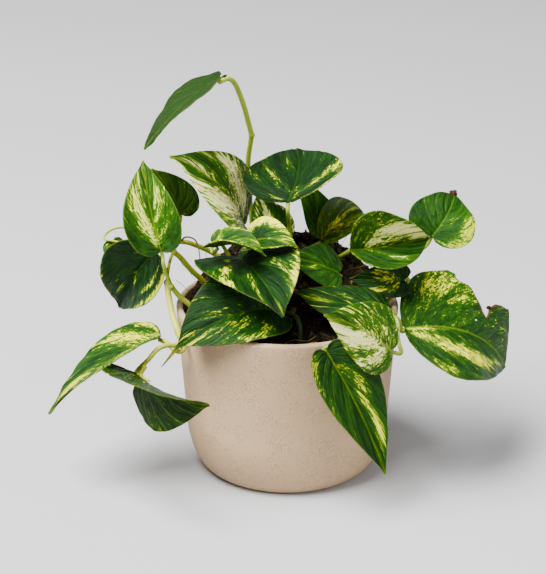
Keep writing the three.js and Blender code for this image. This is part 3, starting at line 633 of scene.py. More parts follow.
def blade_relief(side, time, spot, phase):
    """How far the wavy margin, the puffs between the veins, the midrib's groove and slow warps
    lift a place on the blade, in millimetres."""
    out = abs(side)
    wave = math.sin(2 * math.pi * BLADE_WAVES * time + phase + WAVE_LAG * side)
    vein = (time - VEIN_BOW * out) * VEINS_ACROSS
    puff = (abs(math.sin(math.pi * vein)) ** QUILT_ROUND - QUILT_ROUND) * min(1, 4 * out)
    groove = math.exp(-(spot.x / GROOVE_WIDTH) ** 2)
    warp = WARP[0] * out * noise.noise(spot * WARP[1])
    warp += QUICK_WARP[0] * noise.noise(spot * QUICK_WARP[1]) * min(1, 3 * out)
    return (BLADE_WAVE * out * out * wave + QUILT * puff * (1 - out ** 4) - MIDRIB_GROOVE * groove
            + warp)


def blade_point(leaf, axes, side, time, phase):
    """A place on the blade, and its distance from the midrib, in metres."""
    base, u, n, w, length, bend = axes
    along, half = blade_outline(leaf, side, time)
    spot = Vector((math.copysign(half, side), along * length, WARP_STEP * phase))
    tilt = math.radians(leaf["fold"] + leaf["curl"] * abs(side) / 2)
    flat = math.copysign(half * math.cos(tilt), side)
    high = half * math.sin(tilt) + blade_relief(side, time, spot, phase)
    turn = math.radians(leaf["twist"]) * (along - 0.5)
    across = flat * math.cos(turn) - high * math.sin(turn) + leaf["sway"] * 4 * along * (1 - along)
    above = flat * math.sin(turn) + high * math.cos(turn)
    angle = bend / 2 - bend * along
    radius = length / (2 * math.sin(bend / 2))
    place = base + u * (radius * (math.sin(bend / 2) - math.sin(angle)) - above * math.sin(angle))
    place += n * (radius * (math.cos(angle) - math.cos(bend / 2)) + above * math.cos(angle))
    return (place + w * across) * MM, math.copysign(half, side) * MM


def reach_of(spot, side, time):
    """How strongly a spot reaches a place on the blade: 1 in its middle, and less around it."""
    across, along, wide, long = spot
    return math.exp(-((side - across) / wide) ** 2 - ((time - along) / long) ** 2)


def paleness(leaf, side, time):
    """How far a place on the blade is from green to cream: the whole blade's and its splashes'."""
    pale = leaf["pale"]
    for across, along, wide, long, paler in leaf["splashes"]:
        bowed = along + VEIN_BOW * (abs(side) - abs(across))
        pale += SPLASH * paler * reach_of((across, bowed, wide, long), side, time)
    return pale


def scorch(leaf, side, time):
    """How brown and dry a place on the blade is."""
    spots = leaf.get("scorched", ())
    return max((dry * reach_of(spot, side, time) for *spot, dry in spots), default=0)


def blade_sheet(leaf, phase):
    """The blade as a fine sheet. Its maps hold the distance from the midrib and the place among
    the veins, and its paint attribute paleness, goldenness, scorch and the share out to the margin."""
    sheet = bmesh.new()
    bmesh.ops.create_grid(sheet, x_segments=BLADE_COLUMNS, y_segments=BLADE_ROWS, size=1)
    streaks, blade = (sheet.loops.layers.uv.new(name) for name in ("streaks", "blade"))
    paint = sheet.verts.layers.float_color.new("paint")
    axes = leaf_axes(leaf)
    length = axes[4]
    maps = {}
    for vertex in sheet.verts:
        side = math.copysign(abs(vertex.co.x) ** BLADE_CROWDING, vertex.co.x)
        time = (vertex.co.y + 1) / 2
        vertex.co, half = blade_point(leaf, axes, side, time, phase)
        vein = time - VEIN_BOW * abs(side)
        maps[vertex] = (Vector((half + STREAK_STEP * phase, vein * length * MM)),
                        Vector((half, vein * VEINS_ACROSS)))
        vertex[paint] = (paleness(leaf, side, time), leaf["gold"], scorch(leaf, side, time), abs(side))
    for face in sheet.faces:
        for loop in face.loops:
            loop[streaks].uv, loop[blade].uv = maps[loop.vert]
    return sheet


# The big right leaf has a torn notch in its upper margin and a small hole beside it. Both are
# drawn square to a line that looks down on the leaf from the front, from the notch's corner.
NOTCH_CORNER, NOTCH_LOOK = Vector((129, 12.5, 99)), math.radians(22)
NOTCH = [(-35, 26.8), (-27.5, 24.4), (-22, 21.6), (-21.4, 18.6), (-18.6, 16.6), (-14.6, 15),
         (-11.5, 12.6), (-8.9, 7), (-6.1, 1.9), (-4.5, -2.6), (-2.3, -6.4), (-0.6, -3.2), (0, 0),
         (4.5, 2.2), (8.9, 1.3), (13.4, -1.3), (20, 5), (20, 38), (-35, 38)]
HOLE_X, HOLE_Y, HOLE_WIDE, HOLE_HIGH = -9.6, -7.6, 0.9, 0.7
HOLE = [(HOLE_X + HOLE_WIDE * math.cos(a), HOLE_Y + HOLE_HIGH * math.sin(a)) for a in range(6)]
NOTCH_DEPTH, CUT_REACH = 20, 1.6
DRY_EDGE, DRY_CORNER, DRY_CORNER_REACH = 0.3, 0.8, 9
NOTCH_UP = Vector((0, math.sin(NOTCH_LOOK), math.cos(NOTCH_LOOK)))
NOTCH_BACK = Vector((0, -math.cos(NOTCH_LOOK), math.sin(NOTCH_LOOK)))


def seen_from_front(place):
    """A place as right, up and nearer, in millimetres from the notch's corner."""
    offset = place / MM - NOTCH_CORNER
    return Vector((offset.x, offset.dot(NOTCH_UP))), offset.dot(NOTCH_BACK)


def edge_distance(spot, start, end):
    """How far a spot lies from the straight edge between two corners."""
    edge = Vector(end) - Vector(start)
    share = max(0, min(1, (spot - Vector(start)).dot(edge) / edge.length_squared))
    return (spot - Vector(start) - edge * share).length


def inside(spot, outline):
    """Whether a spot lies inside a closed outline."""
    crossings = 0
    for (ax, ay), (bx, by) in zip(outline, outline[1:] + outline[:1]):
        if (ay > spot.y) != (by > spot.y) and spot.x < ax + (spot.y - ay) / (by - ay) * (bx - ax):
            crossings += 1
    return crossings % 2 == 1


def seen_faces(sheet):
    """The sheet's faces near the notch, each with the place where it is seen from the front."""
    for face in sheet.faces:
        spot, depth = seen_from_front(face.calc_center_median())
        if abs(depth) < NOTCH_DEPTH:
            yield face, spot


def cut_along(sheet, start, end):
    """Cuts the faces beside one straight edge of an outline along that edge."""
    near = [face for face, spot in seen_faces(sheet) if edge_distance(spot, start, end) < CUT_REACH]
    parts = near + list(dict.fromkeys(edge for face in near for edge in face.edges))
    parts += dict.fromkeys(vertex for face in near for vertex in face.verts)
    if not parts:
        return
    way = Vector(end) - Vector(start)
    side = Vector((way.y, 0, 0)) - NOTCH_UP * way.x
    at = (NOTCH_CORNER + Vector((start[0], 0, 0)) + NOTCH_UP * start[1]) * MM
    bmesh.ops.bisect_plane(sheet, geom=parts, dist=1e-7, plane_co=at, plane_no=side)


def tear(sheet, outline, browned):
    """Cuts the outline out of the sheet along its exact edges, and browns the blade beside it."""
    sides = list(zip(outline, outline[1:] + outline[:1]))
    for start, end in sides:
        cut_along(sheet, start, end)
    gone = [face for face, spot in seen_faces(sheet) if inside(spot, outline)]
    bmesh.ops.delete(sheet, geom=gone, context="FACES")
    paint = sheet.verts.layers.float_color["paint"]
    for vertex in sheet.verts:
        spot, depth = seen_from_front(vertex.co)
        if abs(depth) < NOTCH_DEPTH:
            gap = min(edge_distance(spot, start, end) for start, end in sides)
            deep = DRY_EDGE + DRY_CORNER * math.exp(-(spot.length / DRY_CORNER_REACH) ** 2)
            vertex[paint][2] = max(vertex[paint][2], deep * math.exp(-(gap / browned) ** 2))


# Variegation runs along the side veins: streaks and flecks from deep green through yellow-green
# to cream, with a pale line on the midrib and the margin, and brown where the blade has dried.
# Its noises have so many spots to the metre across and along the veins, a detail and a distortion.
PATCHES, STREAKS, FLECKS = (100, 200, 4, 1.1), (320, 560, 6, 1.1), (900, 1300, 4, 1.2)
YELLOW_LEVELS, CREAM_LEVELS, GREEN_LEVELS = (0.44, 0.49), (0.52, 0.72), (-0.15, 0.4)
RIB_EDGES, RIB_PALENESS, VEIN_WIDTH = (0.3 * MM, 1.1 * MM), 0.4, 0.09
MARGIN_EDGES, MARGIN_PALENESS, DRY_LEVELS = (0.975, 0.995), 0.08, (0.62, 0.85)


def streak_noise(tree, across, along, detail, distortion):
    """Noise drawn out along the veins, with so many spots to the metre each way."""
    place = add_node(tree, "UVMap", uv_map="streaks").outputs["UV"]
    drawn = add_node(tree, "Mapping", {"Vector": place, "Scale": (across, along, 1)})
    return add_node(tree, "TexNoise", {
        "Vector": drawn.outputs["Vector"], "Scale": 1, "Detail": detail, "Roughness": 0.66,
        "Distortion": distortion}).outputs["Fac"]


def summed(tree, *terms):
    """The sum of sockets, each times its factor."""
    total = 0.0
    for socket, factor in terms:
        total = maths(tree, "MULTIPLY_ADD", socket, factor, total)
    return total


def blade_lines(tree):
    """How strongly a place lies on the midrib's pale line, and how strongly on a side vein."""
    place = add_node(tree, "UVMap", uv_map="blade").outputs["UV"]
    place = add_node(tree, "SeparateXYZ", {"Vector": place}).outputs
    rib = ranged(tree, maths(tree, "ABSOLUTE", place["X"]), *RIB_EDGES, RIB_PALENESS, 0)
    vein = ranged(tree, maths(tree, "PINGPONG", place["Y"], 0.5), 0, VEIN_WIDTH, 1, 0)
    return rib, vein


def variegation_group():
    """The colour, roughness and height of a blade in its own greens, from its paint and maps."""
    tree, given, result = new_group(
        "variegation",
        {"Deep": "Color", "Green": "Color", "Yellow": "Color", "Cream": "Color", "Rib": "Color",
         "Veins": "Float"},
        {"Color": "Color", "Roughness": "Float", "Height": "Float"})
    paint = add_node(tree, "Attribute", attribute_name="paint").outputs
    painted = add_node(tree, "SeparateColor", {"Color": paint["Color"]}).outputs
    patches, streaks, flecks = (streak_noise(tree, *kind) for kind in (PATCHES, STREAKS, FLECKS))
    ground = maths(tree, "SUBTRACT", summed(tree, (patches, 1.0), (painted["Red"], 1.0)), 0.5)
    fine = maths(tree, "SUBTRACT", summed(tree, (streaks, 2.0), (flecks, 1.6)), 1.8)
    broken = ranged(tree, ground, 0.0, 0.5, 0.5, 1.7)
    level = maths(tree, "MULTIPLY_ADD", fine, broken, ground)
    green = maths(tree, "MULTIPLY_ADD", fine, 0.35, ground)
    colour = mixed(tree, eased(tree, green, *GREEN_LEVELS), given["Deep"], given["Green"])
    colour = mixed(tree, eased(tree, level, *YELLOW_LEVELS), colour, given["Yellow"])
    whiter = maths(tree, "MULTIPLY", eased(tree, level, *CREAM_LEVELS),
                   maths(tree, "SUBTRACT", 1.0, painted["Green"]))
    colour = mixed(tree, whiter, colour, given["Cream"])
    rib, vein = blade_lines(tree)
    colour = mixed(tree, rib, colour, given["Rib"])
    colour = mixed(tree, maths(tree, "MULTIPLY", vein, given["Veins"]), colour, given["Rib"])
    margin = maths(tree, "MULTIPLY", eased(tree, paint["Alpha"], *MARGIN_EDGES), MARGIN_PALENESS)
    colour = mixed(tree, margin, colour, given["Yellow"])
    dry = summed(tree, (painted["Blue"], 1.0), (streaks, 0.5))
    colour = mixed(tree, eased(tree, dry, *DRY_LEVELS), colour, tone(96, 60, 34))
    roughness = summed(tree, (flecks, 0.12), (whiter, 0.12), (patches, 0.25))
    height = summed(tree, (streaks, 1.6), (flecks, 0.5), (vein, -0.5))
    for output, value in (("Color", colour), ("Roughness", roughness), ("Height", height)):
        tree.links.new(value, result[output])
    return tree


variegation = variegation_group()


def leaf_material(name, greens, relief):
    """One finish of blade: the variegation in its own greens, with a soft waxy gloss."""
    material, tree, shader = new_material(name, Specular_IOR_Level=relief["gloss"])
    node = add_node(tree, "Group", {"Veins": relief["veins"]}, node_tree=variegation)
    for socket, green in zip(("Deep", "Green", "Yellow", "Cream", "Rib"), greens):
        node.inputs[socket].default_value = tone(*green)
    tree.links.new(node.outputs["Color"], shader.inputs["Base Color"])
    roughness = maths(tree, "ADD", node.outputs["Roughness"], relief["roughness"])
    tree.links.new(roughness, shader.inputs["Roughness"])
    bump(tree, shader, node.outputs["Height"], relief["depth"])
    return material


# Deep green, green, yellow, cream and the midrib of each finish, and how its surface looks.
UPPER = dict(depth=0.0005, roughness=0.2, veins=0.06, gloss=0.12)
UNDER = dict(depth=0.0014, roughness=0.4, veins=0.4, gloss=0.05)
UPPER_GREENS = {
    # The first finish is lighter greens, painted light on a leaf in shade; the second is the arching
    # leaf's own greens, and also lifts two shaded leaves as painted light.
    "leaf_shade_lifted": ((42, 98, 0), (92, 142, 0), (200, 208, 10), (232, 226, 130), (112, 140, 14)),
    "leaf_tall": ((24, 52, 0), (50, 82, 0), (176, 186, 0), (230, 222, 80), (104, 134, 8)),
    "leaf_green": ((8, 48, 0), (46, 92, 0), (180, 192, 0), (236, 226, 60), (90, 130, 4)),
    "leaf_dark": ((0, 27, 0), (24, 70, 0), (200, 204, 0), (250, 240, 90), (42, 86, 0)),
    "leaf_yellow": ((2, 37, 0), (40, 90, 0), (216, 222, 0), (253, 246, 80), (124, 154, 4)),
    "leaf_cream": ((4, 40, 0), (46, 96, 0), (210, 220, 6), (255, 250, 176), (140, 166, 12)),
}
UNDER_GREENS = ((4, 32, 0), (42, 78, 0), (115, 134, 12), (168, 170, 56), (96, 122, 44))
leaf_finishes = {finish: leaf_material(finish + "_upper", greens, UPPER)
                 for finish, greens in UPPER_GREENS.items()}
underside = leaf_material("leaf_underside", UNDER_GREENS, UNDER)


def from_notch(place):
    """How far a place in millimetres looks to be from the notch's corner, from the front."""
    spot, depth = seen_from_front(place * MM)
    return spot.length if abs(depth) < NOTCH_DEPTH else NOTCH_DEPTH


for count, (name, leaf) in enumerate(LEAVES.items()):
    sheet = blade_sheet(leaf, count)
    if name == "big_right":
        tear(sheet, NOTCH, browned=1.3)
        tear(sheet, HOLE, browned=0.6)
        notch_edge = min((vertex.co / MM for vertex in sheet.verts), key=from_notch)
    finish = leaf_finishes[leaf.get("finish", leaf["slot"])]
    blade_piece = add_piece("blade_" + name, sheet, leaf["slot"], finish, underside)
    thick = blade_piece.modifiers.new("thickness", "SOLIDIFY")
    thick.thickness = BLADE_THICKNESS * MM
    thick.offset = 0
    thick.material_offset = 1
    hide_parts("leaf_" + name)

# The tip of the round leaf and the notch's corner end in dry crumpled knots: middle and radius.
DRY_TIPS = [((108, 56, 161), 2.2), ((106.5, 56, 162), 1.4), (notch_edge, 1.3)]
tips = bmesh.new()
tint = tips.verts.layers.float.new("tint")
for middle, radius in DRY_TIPS:
    place = Matrix.Translation(Vector(middle) * MM) @ Matrix.Scale(radius * MM, 4)
    for vertex in bmesh.ops.create_icosphere(tips, subdivisions=3, radius=1, matrix=place)["verts"]:
        vertex.co += noise.noise_vector(vertex.co * 800) * radius * 0.6 * MM
        vertex[tint] = 0.5
add_piece("dry_tips", tips, "leaf_green",
          crumbly_material("dry_leaf", tone(40, 22, 14), tone(120, 78, 48), 1500))

# ---------------------------------------------------------------- vines
# Fleshy round stems that come out of the soil, part at swollen nodes and end in leaf stalks. Each
# vine is one body with its stalks: pale yellow-green, browned at the nodes and near the soil.

# A branch is its points, its first and last radius and, where it carries a leaf, the leaf's name
# and a last bend that lies so far back from the leaf's base and so far below it. nodes are swollen
# and browned, dry places only browned; pale runs from green to yellow, and dark is deep shade.
VINES = {
    "tall": dict(nodes=[(-22.5, 45, 204)], pale=0.6, branches=[
        ([(-22, 40, 126), (-22, 42, 140), (-24, 46, 162), (-25, 48, 184), (-22.5, 45, 204)], 1.9, 1.7),
        ([(-22.5, 45, 204), (-24.6, 43.5, 213), (-26.9, 41, 223), (-30, 37.5, 233.5),
          (-33.2, 32.5, 242), (-37, 27, 246)], 1.8, 1.7, "arch", None)]),
    "trailing": dict(nodes=[(-71, 0, 142), (-75, -9, 125), (-65, -34, 95)],
        dry=[(-67, 3, 136.5), (-73, -3.5, 137), (-74.4, -6.5, 130)], pale=0.9, branches=[
        ([(-50, 14, 111), (-54, 10, 119), (-61, 6, 128), (-67, 3, 137), (-71, 0, 142)], 1.9, 1.8),
        ([(-71, 0, 142), (-73, -3, 138), (-74.5, -6, 131), (-75, -9, 125)], 1.1, 1.1),
        ([(-75, -9, 125), (-74, -13, 118), (-72, -19, 110), (-68.5, -28, 102), (-65, -34, 95)], 1.9,
          2.1),
        ([(-65, -34, 95), (-63.8, -35.5, 92), (-66, -36.5, 90), (-70, -36, 91), (-74, -33, 94)], 1.6,
          1.5, "low_long", None),
        ([(-65, -34, 95), (-69, -39, 95.5), (-75, -42, 96.5), (-80, -45, 95), (-85, -48, 90)], 1.6,
          1.5, "low_folded", (5, 1.4)),
        ([(-65, -34, 95), (-69, -38, 92), (-73, -39, 87), (-78, -40, 81)], 1.8, 0.4),
        ([(-87, -48.6, 86), (-90.5, -49.5, 81.2), (-96, -50, 79.5)], 1.6, 0.7),
        ([(-87, -48.6, 86), (-89.5, -51, 80.6), (-84, -57, 79.5)], 1.6, 0.8)]),
    "upright": dict(nodes=[(-72, -16, 125)], dry=[(-66, -15, 117)], pale=0.4, branches=[
        ([(-51, -16, 94), (-55, -15, 104), (-61, -15, 112.5), (-67, -15, 118), (-72, -16, 125)], 1.8,
          1.7),
        ([(-72, -16, 125), (-74.5, -17, 133), (-76.5, -18, 141)], 1.4, 1.2, "upright", (4, 2.4))]),
    "left": dict(nodes=[(-69, 13, 144)], pale=0.6, branches=[
        ([(-38, 20, 117), (-42, 20, 129), (-49, 19, 135), (-57, 16, 140), (-63, 14, 143),
          (-69, 13, 144)], 1.8, 1.6),
        ([(-69, 13, 144), (-75, 13, 144.5), (-80, 11, 144)], 1.4, 1.2, "left_dark", (4, 2.4)),
        ([(-69, 13, 144), (-80, 19, 146), (-92, 23, 148), (-104, 26, 149), (-111, 26.5, 147.5),
          (-115.5, 25, 144.5), (-116, 23, 142), (-111, 21.5, 141.3), (-103, 20.5, 139.8),
          (-96, 20, 138.5)], 1.4, 0.6),
        ([(-69, 13, 144), (-70, 18, 147)], 1.3, 1.1, "behind", (4, 2.4))]),
    "center": dict(nodes=[(-33, -3, 134)], branches=[
        ([(-34, 2, 112), (-34, -1, 126), (-33, -3, 134)], 1.8, 1.8),
        ([(-33, -3, 134), (-38, -2, 143), (-42, -7, 151), (-46, -18, 155)], 1.3, 1.2, "curled",
          (4, 3.4)),
        ([(-33, -3, 134), (-33, -6, 139)], 1.4, 1.2, "center", (4, 3.2))]),
    "drooping": dict(branches=[
        ([(-23, 7, 118), (-23, 5, 134), (-23, 4, 145), (-24.5, -1, 151)], 1.3, 1.1, "drooping",
          (3, 1.6))]),
    "inner": dict(branches=[
        ([(-6, 16, 127), (-5, 14, 137)], 1.3, 1.1, "inner", (4, 2.6))]),
    "cream": dict(branches=[
        ([(-18, 30, 126), (-20, 29, 138)], 1.5, 1.3, "cream", (6, 4))]),
    "crown": dict(branches=[
        ([(3, 6, 126), (2, 2, 142), (1, -3, 161)], 1.4, 1.3, "crown", (5, 4))]),
    "front": dict(pale=0, dark=0.8, branches=[
        ([(7, -52, 92), (7.5, -50, 104), (7, -46, 112), (4, -41, 116)], 1.7, 1.5, "lower_left",
          (4, 3))]),
    "hanging": dict(branches=[
        ([(30, -46, 93), (32.5, -52, 104), (33, -58.5, 110.8), (31, -64.5, 110.8), (28, -69, 109)],
          1.4, 1.3, "hanging", (2, 2.4))]),
    "right_front": dict(nodes=[(64.5, -27.5, 111.7)], branches=[
        ([(50, -18, 93), (54.5, -21, 105), (60, -24.5, 111.6), (64.5, -27.5, 111.7)], 1.8, 1.7),
        ([(64.5, -27.5, 111.7), (66, -34, 110), (66.5, -43, 106.5), (67.5, -52, 102),
          (67.5, -66, 102)], 1.4, 1.3, "front_cream", (3, 2.6)),
        ([(64.5, -27.5, 111.7), (68.5, -28, 107.5), (70, -27.8, 103)], 1.5, 1.4, "big_right",
          (1.5, 3.4))]),
    "right_cream": dict(pale=0.4, branches=[
        ([(26, 16, 122), (28.5, 14.5, 129), (32, 11.5, 133.5), (36, 4.5, 139)], 1.5, 1.4,
          "right_cream", None)]),
    "right_round": dict(branches=[
        ([(48, 14, 103), (53, 14, 114), (61, 15, 120), (70, 17, 123.5), (79, 22, 130.5)], 1.5, 1.3,
          "right_round", (6, 4.5))]),
    "small_right": dict(branches=[
        ([(56, -7, 95), (58.5, -6, 105), (64, -5, 112), (70, -2, 117)], 1.4, 1.2, "small_right",
          (4, 2.6))]),
    "middle_dark": dict(branches=[
        ([(28, 8, 114), (31, 4, 124)], 1.4, 1.2, "middle_dark", (4, 3))]),
    "middle_low": dict(branches=[
        ([(48, -26, 93), (50, -29, 104), (54, -31, 110.5)], 1.5, 1.3, "middle_low", None)]),
    "back_folded": dict(branches=[
        ([(16, 22, 123), (16, 20, 135), (16, 16, 139.5)], 1.5, 1.2, "back_folded", (3, 2.6))]),
    "back_narrow": dict(branches=[
        ([(20, 38, 122), (20.5, 37, 132)], 1.3, 1.1, "back_narrow", (4, 2.6))]),
}
STALK_SIDES, STALK_BENDS, NODE_SWELL, VOXEL, SMOOTHINGS = 12, 7, 1.3, 0.36, 3
UNDER_BLADE, STALK_GAP, VINE_PALENESS = 1.5, 0.45, 0.25
# How brown a vine is at its nodes and at the soil, and how far that reaches.
NODE_BROWN, NODE_REACH, SOIL_BROWN, SOIL_REACH = 0.75, 2.6, 0.5, 5


def under_leaf(leaf, back, down):
    """The place that lies back from a leaf's base and below its blade."""
    base, u, n, _, _, bend = leaf_axes(leaf)
    along = u * math.cos(bend / 2) + n * math.sin(bend / 2)
    above = n * math.cos(bend / 2) - u * math.sin(bend / 2)
    return base - along * back - above * down


def branch_line(points, thin, leaf_name=None, approach=None):
    """All the points that a branch passes, on to the underside of its leaf."""
    line = [Vector(point) for point in points]
    if leaf_name:
        leaf = LEAVES[leaf_name]
        if approach:
            line.append(under_leaf(leaf, *approach))
        line.append(under_leaf(leaf, -UNDER_BLADE, thin + STALK_GAP))
    return line


def rounded_line(points):
    """A smooth line through the points, with its handles a third of each stretch."""
    ends = [points[0]] + points + [points[-1]]
    ways = [(after - before).normalized() for before, after in zip(ends, ends[2:])]
    line = []
    for start, end, way_out, way_in in zip(points, points[1:], ways, ways[1:]):
        third = (end - start).length / 3
        line += interpolate_bezier(start, start + way_out * third, end - way_in * third, end,
                                   STALK_BENDS)[:-1]
    return line + [points[-1]]


def ring_place(middle, turn, radius):
    """Where a ring of radius 1 goes to lie round a place on the stalk."""
    return (Matrix.Translation(middle * MM) @ turn.to_matrix().to_4x4()
            @ Matrix.Scale(radius * MM, 4))


def add_stalk(shape, line, thick, thin):
    """A round stalk: a ring of edges is drawn out from point to point, and both ends are closed."""
    way = (line[1] - line[0]).normalized()
    turn = way.to_track_quat("Z", "Y")
    place = ring_place(line[0], turn, thick)
    ring = bmesh.ops.create_circle(shape, segments=STALK_SIDES, radius=1, matrix=place)["verts"]
    edges = list(dict.fromkeys(edge for vertex in ring for edge in vertex.link_edges))
    bmesh.ops.contextual_create(shape, geom=edges)
    for index in range(1, len(line)):
        ahead = line[min(index + 1, len(line) - 1)] - line[index - 1]
        turn = way.rotation_difference(ahead) @ turn
        way = ahead.normalized()
        there = ring_place(line[index], turn, thick + (thin - thick) * index / (len(line) - 1))
        drawn = bmesh.ops.extrude_edge_only(shape, edges=edges)["geom"]
        verts = [part for part in drawn if isinstance(part, bmesh.types.BMVert)]
        edges = [part for part in drawn if isinstance(part, bmesh.types.BMEdge)
                 and all(vertex in verts for vertex in part.verts)]
        bmesh.ops.transform(shape, matrix=there @ place.inverted(), verts=verts)
        place = there
    bmesh.ops.contextual_create(shape, geom=edges)


def grown_together(name, shape):
    """The stalks and nodes as one skin: a voxel remesh, smoothed over."""
    rough = new_object(name, shape)
    remesh = rough.modifiers.new("skin", "REMESH")
    remesh.mode = "VOXEL"
    remesh.voxel_size = VOXEL * MM
    bpy.context.view_layer.update()
    skin = bmesh.new()
    skin.from_object(rough, bpy.context.evaluated_depsgraph_get())
    rough_mesh = rough.data
    bpy.data.objects.remove(rough)
    bpy.data.meshes.remove(rough_mesh)
    for _ in range(SMOOTHINGS):
        bmesh.ops.smooth_vert(skin, verts=skin.verts, factor=0.5, use_axis_x=True, use_axis_y=True,
                              use_axis_z=True)
    return skin


def vine_material():
    """Pale yellow-green flesh, browned at the nodes, with painted light that makes upward faces
    lighter and undersides darker and greener, and painted deep shade where a vine is dark.
    """
    material, tree, shader = new_material("vine_flesh", Specular_IOR_Level=0.25)
    flesh = add_grain(tree, 700)
    shade = add_node(tree, "Attribute", attribute_name="shade").outputs
    parts = add_node(tree, "SeparateColor", {"Color": shade["Color"]}).outputs
    # Painted light: faces turned up are lighter, faces turned down darker and greener.
    greener = mixed(tree, parts["Green"], tone(38, 70, 8), tone(80, 112, 20))
    paler = mixed(tree, parts["Green"], tone(140, 172, 22), tone(220, 222, 60))
    base = mixed(tree, parts["Blue"], greener, paler)
    # Painted deep shade, for vines that lie in shade.
    base = mixed(tree, shade["Alpha"], base, tone(14, 26, 0))
    brown = summed(tree, (parts["Red"], 1.0), (flesh["Grit"], 0.5))
    base = mixed(tree, eased(tree, brown, 0.6, 1.0), base, tone(112, 92, 40))
    dress(tree, shader, base, flesh["Grit"], (0.32, 0.52), 0.0002, 0.6)
    return material


def vine_shade(place, normal, brown_spots, vine):
    """How browned a place on a vine is, how much painted light falls on it from above, how pale it is,
    and how much painted deep shade it has.
    """
    browned = max((NODE_BROWN * math.exp(-((place - spot).length / NODE_REACH) ** 2)
                   for spot in brown_spots), default=0)
    above = max(0, place.z - soil_top(place.x, place.y))
    browned = max(browned, math.exp(-above / SOIL_REACH) * SOIL_BROWN)
    return browned, 0.5 + 0.5 * normal.z, vine.get("pale", VINE_PALENESS), vine.get("dark", 0)


vine_flesh = vine_material()
for name, vine in VINES.items():
    shape = bmesh.new()
    nodes, dry = ([Vector(spot) for spot in vine.get(key, [])] for key in ("nodes", "dry"))
    for points, thick, thin, *leaf in vine["branches"]:
        add_stalk(shape, rounded_line(branch_line(points, thin, *leaf)), thick, thin)
    swollen = NODE_SWELL * vine["branches"][0][2] * MM
    for node in nodes:
        bmesh.ops.create_icosphere(shape, subdivisions=2, radius=swollen,
                                   matrix=Matrix.Translation(node * MM))
    skin = grown_together("stalks_" + name, shape)
    shades = skin.verts.layers.float_color.new("shade")
    for vertex in skin.verts:
        vertex[shades] = vine_shade(vertex.co / MM, vertex.normal, nodes + dry, vine)
    vine_piece = add_piece("stalks_" + name, skin, "vine", vine_flesh)
    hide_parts("vine_" + name)

# ---------------------------------------------------------------- root fibres
# Dry hair roots and one thicker aerial root: brown threads that hang from the nodes into the pot or
# stand out of the peat, each half as thick at its point. A fibre is its points and its radius.
FIBRES = [
    ([(-67, 13, 144), (-64, 10, 148), (-59, 10, 147), (-56.5, 11, 143), (-55.5, 12, 136),
      (-55, 13, 130)], 0.65),
    ([(-68, 13, 136), (-67.6, 12, 131), (-62.2, 10, 125), (-57.7, 8, 119)], 0.22),
    ([(-70, 8, 119.5), (-67, 6, 118), (-63, 5, 114), (-58, 4, 108)], 0.22),
    ([(-52, 14, 140), (-51, 13, 133), (-51.5, 12, 126), (-50, 10, 118)], 0.2),
    ([(40, 32, 143), (37, 31, 139), (34.8, 30, 135), (34, 28, 129)], 0.2),
    ([(44, 26, 140), (40, 27, 137), (38, 26, 131), (38, 24, 126)], 0.2),
    ([(50, 8, 131), (45, 9, 128), (41, 10, 127), (36, 9, 125)], 0.2),
    ([(-64, -6, 112), (-60, -9, 109), (-54, -9, 110), (-49, -12, 106)], 0.25),
    ([(10, -60, 103.5), (16, -56, 105), (22, -57, 103), (30, -52, 104)], 0.25),
    ([(-4, -58, 103), (3, -53, 105), (12, -52, 104), (17, -47, 105)], 0.22),
    ([(56, 22, 118), (52, 30, 123), (46, 33, 124), (40, 40, 126)], 0.25),
    ([(20, 61, 120), (14, 64.4, 122), (6, 65, 123), (-4, 64, 126)], 0.22),
]
FIBRE_POINT = 0.5


def fibre_material():
    """Dry root skin, dull brown with paler stretches."""
    material, tree, shader = new_material("root_skin", Specular_IOR_Level=0.2)
    skin = add_grain(tree, 900)
    base = mixed(tree, eased(tree, skin["Mottle"], 0.35, 0.65), tone(104, 76, 34), tone(168, 138, 84))
    dress(tree, shader, base, skin["Grit"], (0.6, 0.9), 0.0002)
    return material


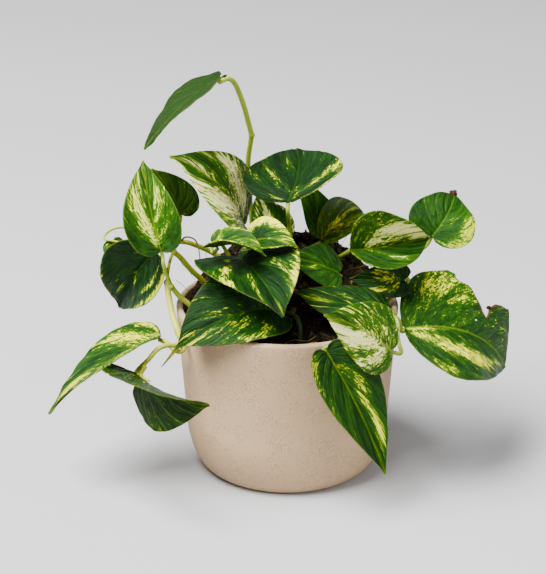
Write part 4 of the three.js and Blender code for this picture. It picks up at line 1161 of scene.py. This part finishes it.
fibres = bmesh.new()
for points, thick in FIBRES:
    line = rounded_line([Vector(point) for point in points])
    add_stalk(fibres, line, thick, FIBRE_POINT * thick)
add_piece("root_fibres", fibres, "vine", fibre_material())

# ---------------------------------------------------------------- studio
# A plain pale floor, soft light from the upper left and a little from the right, and the camera
# above the plant's front at the angle of the view.
FLOOR_REACH, SKY_STRENGTH = 6, 0.46
floor_shape = bmesh.new()
bmesh.ops.create_grid(floor_shape, x_segments=1, y_segments=1, size=FLOOR_REACH)
floor = new_object("floor", floor_shape)
floor_grey = new_material("floor_grey", Roughness=0.9, Specular_IOR_Level=0.2,
                          Base_Color=tone(188, 188, 189))[0]
floor.data.materials.append(floor_grey)

world = bpy.data.worlds.new("studio")
world.use_nodes = True
sky = world.node_tree.nodes["Background"].inputs
sky["Color"].default_value = tone(232, 234, 238)
sky["Strength"].default_value = SKY_STRENGTH
scene.world = world


def add_lamp(name, place, aim, size, power):
    """A square soft box at a place, turned to its aim."""
    light = bpy.data.lights.new(name, "AREA")
    light.energy = power
    light.size = size
    lamp = bpy.data.objects.new(name, light)
    lamp.location = place
    lamp.rotation_euler = (Vector(aim) - Vector(place)).to_track_quat("-Z", "Y").to_euler()
    scene.collection.objects.link(lamp)


PLANT_MIDDLE = (0, 0, 0.1)
add_lamp("key", place=(-1.0, -0.58, 2.25), aim=PLANT_MIDDLE, size=1.6, power=256)
add_lamp("fill", place=(1.3, -0.9, 0.9), aim=PLANT_MIDDLE, size=0.8, power=11)

VIEW_TARGET, VIEW_DISTANCE, VIEW_DOWN = Vector((-9, 0, 118.33)) * MM, 1.2, math.radians(21.95)
FRAME_HEIGHT, FOCAL_PIXELS, SENSOR = 574, 1908.8, 36
camera_data = bpy.data.cameras.new("camera")
camera_data.sensor_width = SENSOR
camera_data.lens = FOCAL_PIXELS / FRAME_HEIGHT * SENSOR
camera = bpy.data.objects.new("camera", camera_data)
back = Vector((0, -math.cos(VIEW_DOWN), math.sin(VIEW_DOWN)))
camera.location = VIEW_TARGET + back * VIEW_DISTANCE
camera.rotation_euler = back.to_track_quat("Z", "Y").to_euler()
scene.collection.objects.link(camera)
scene.camera = camera
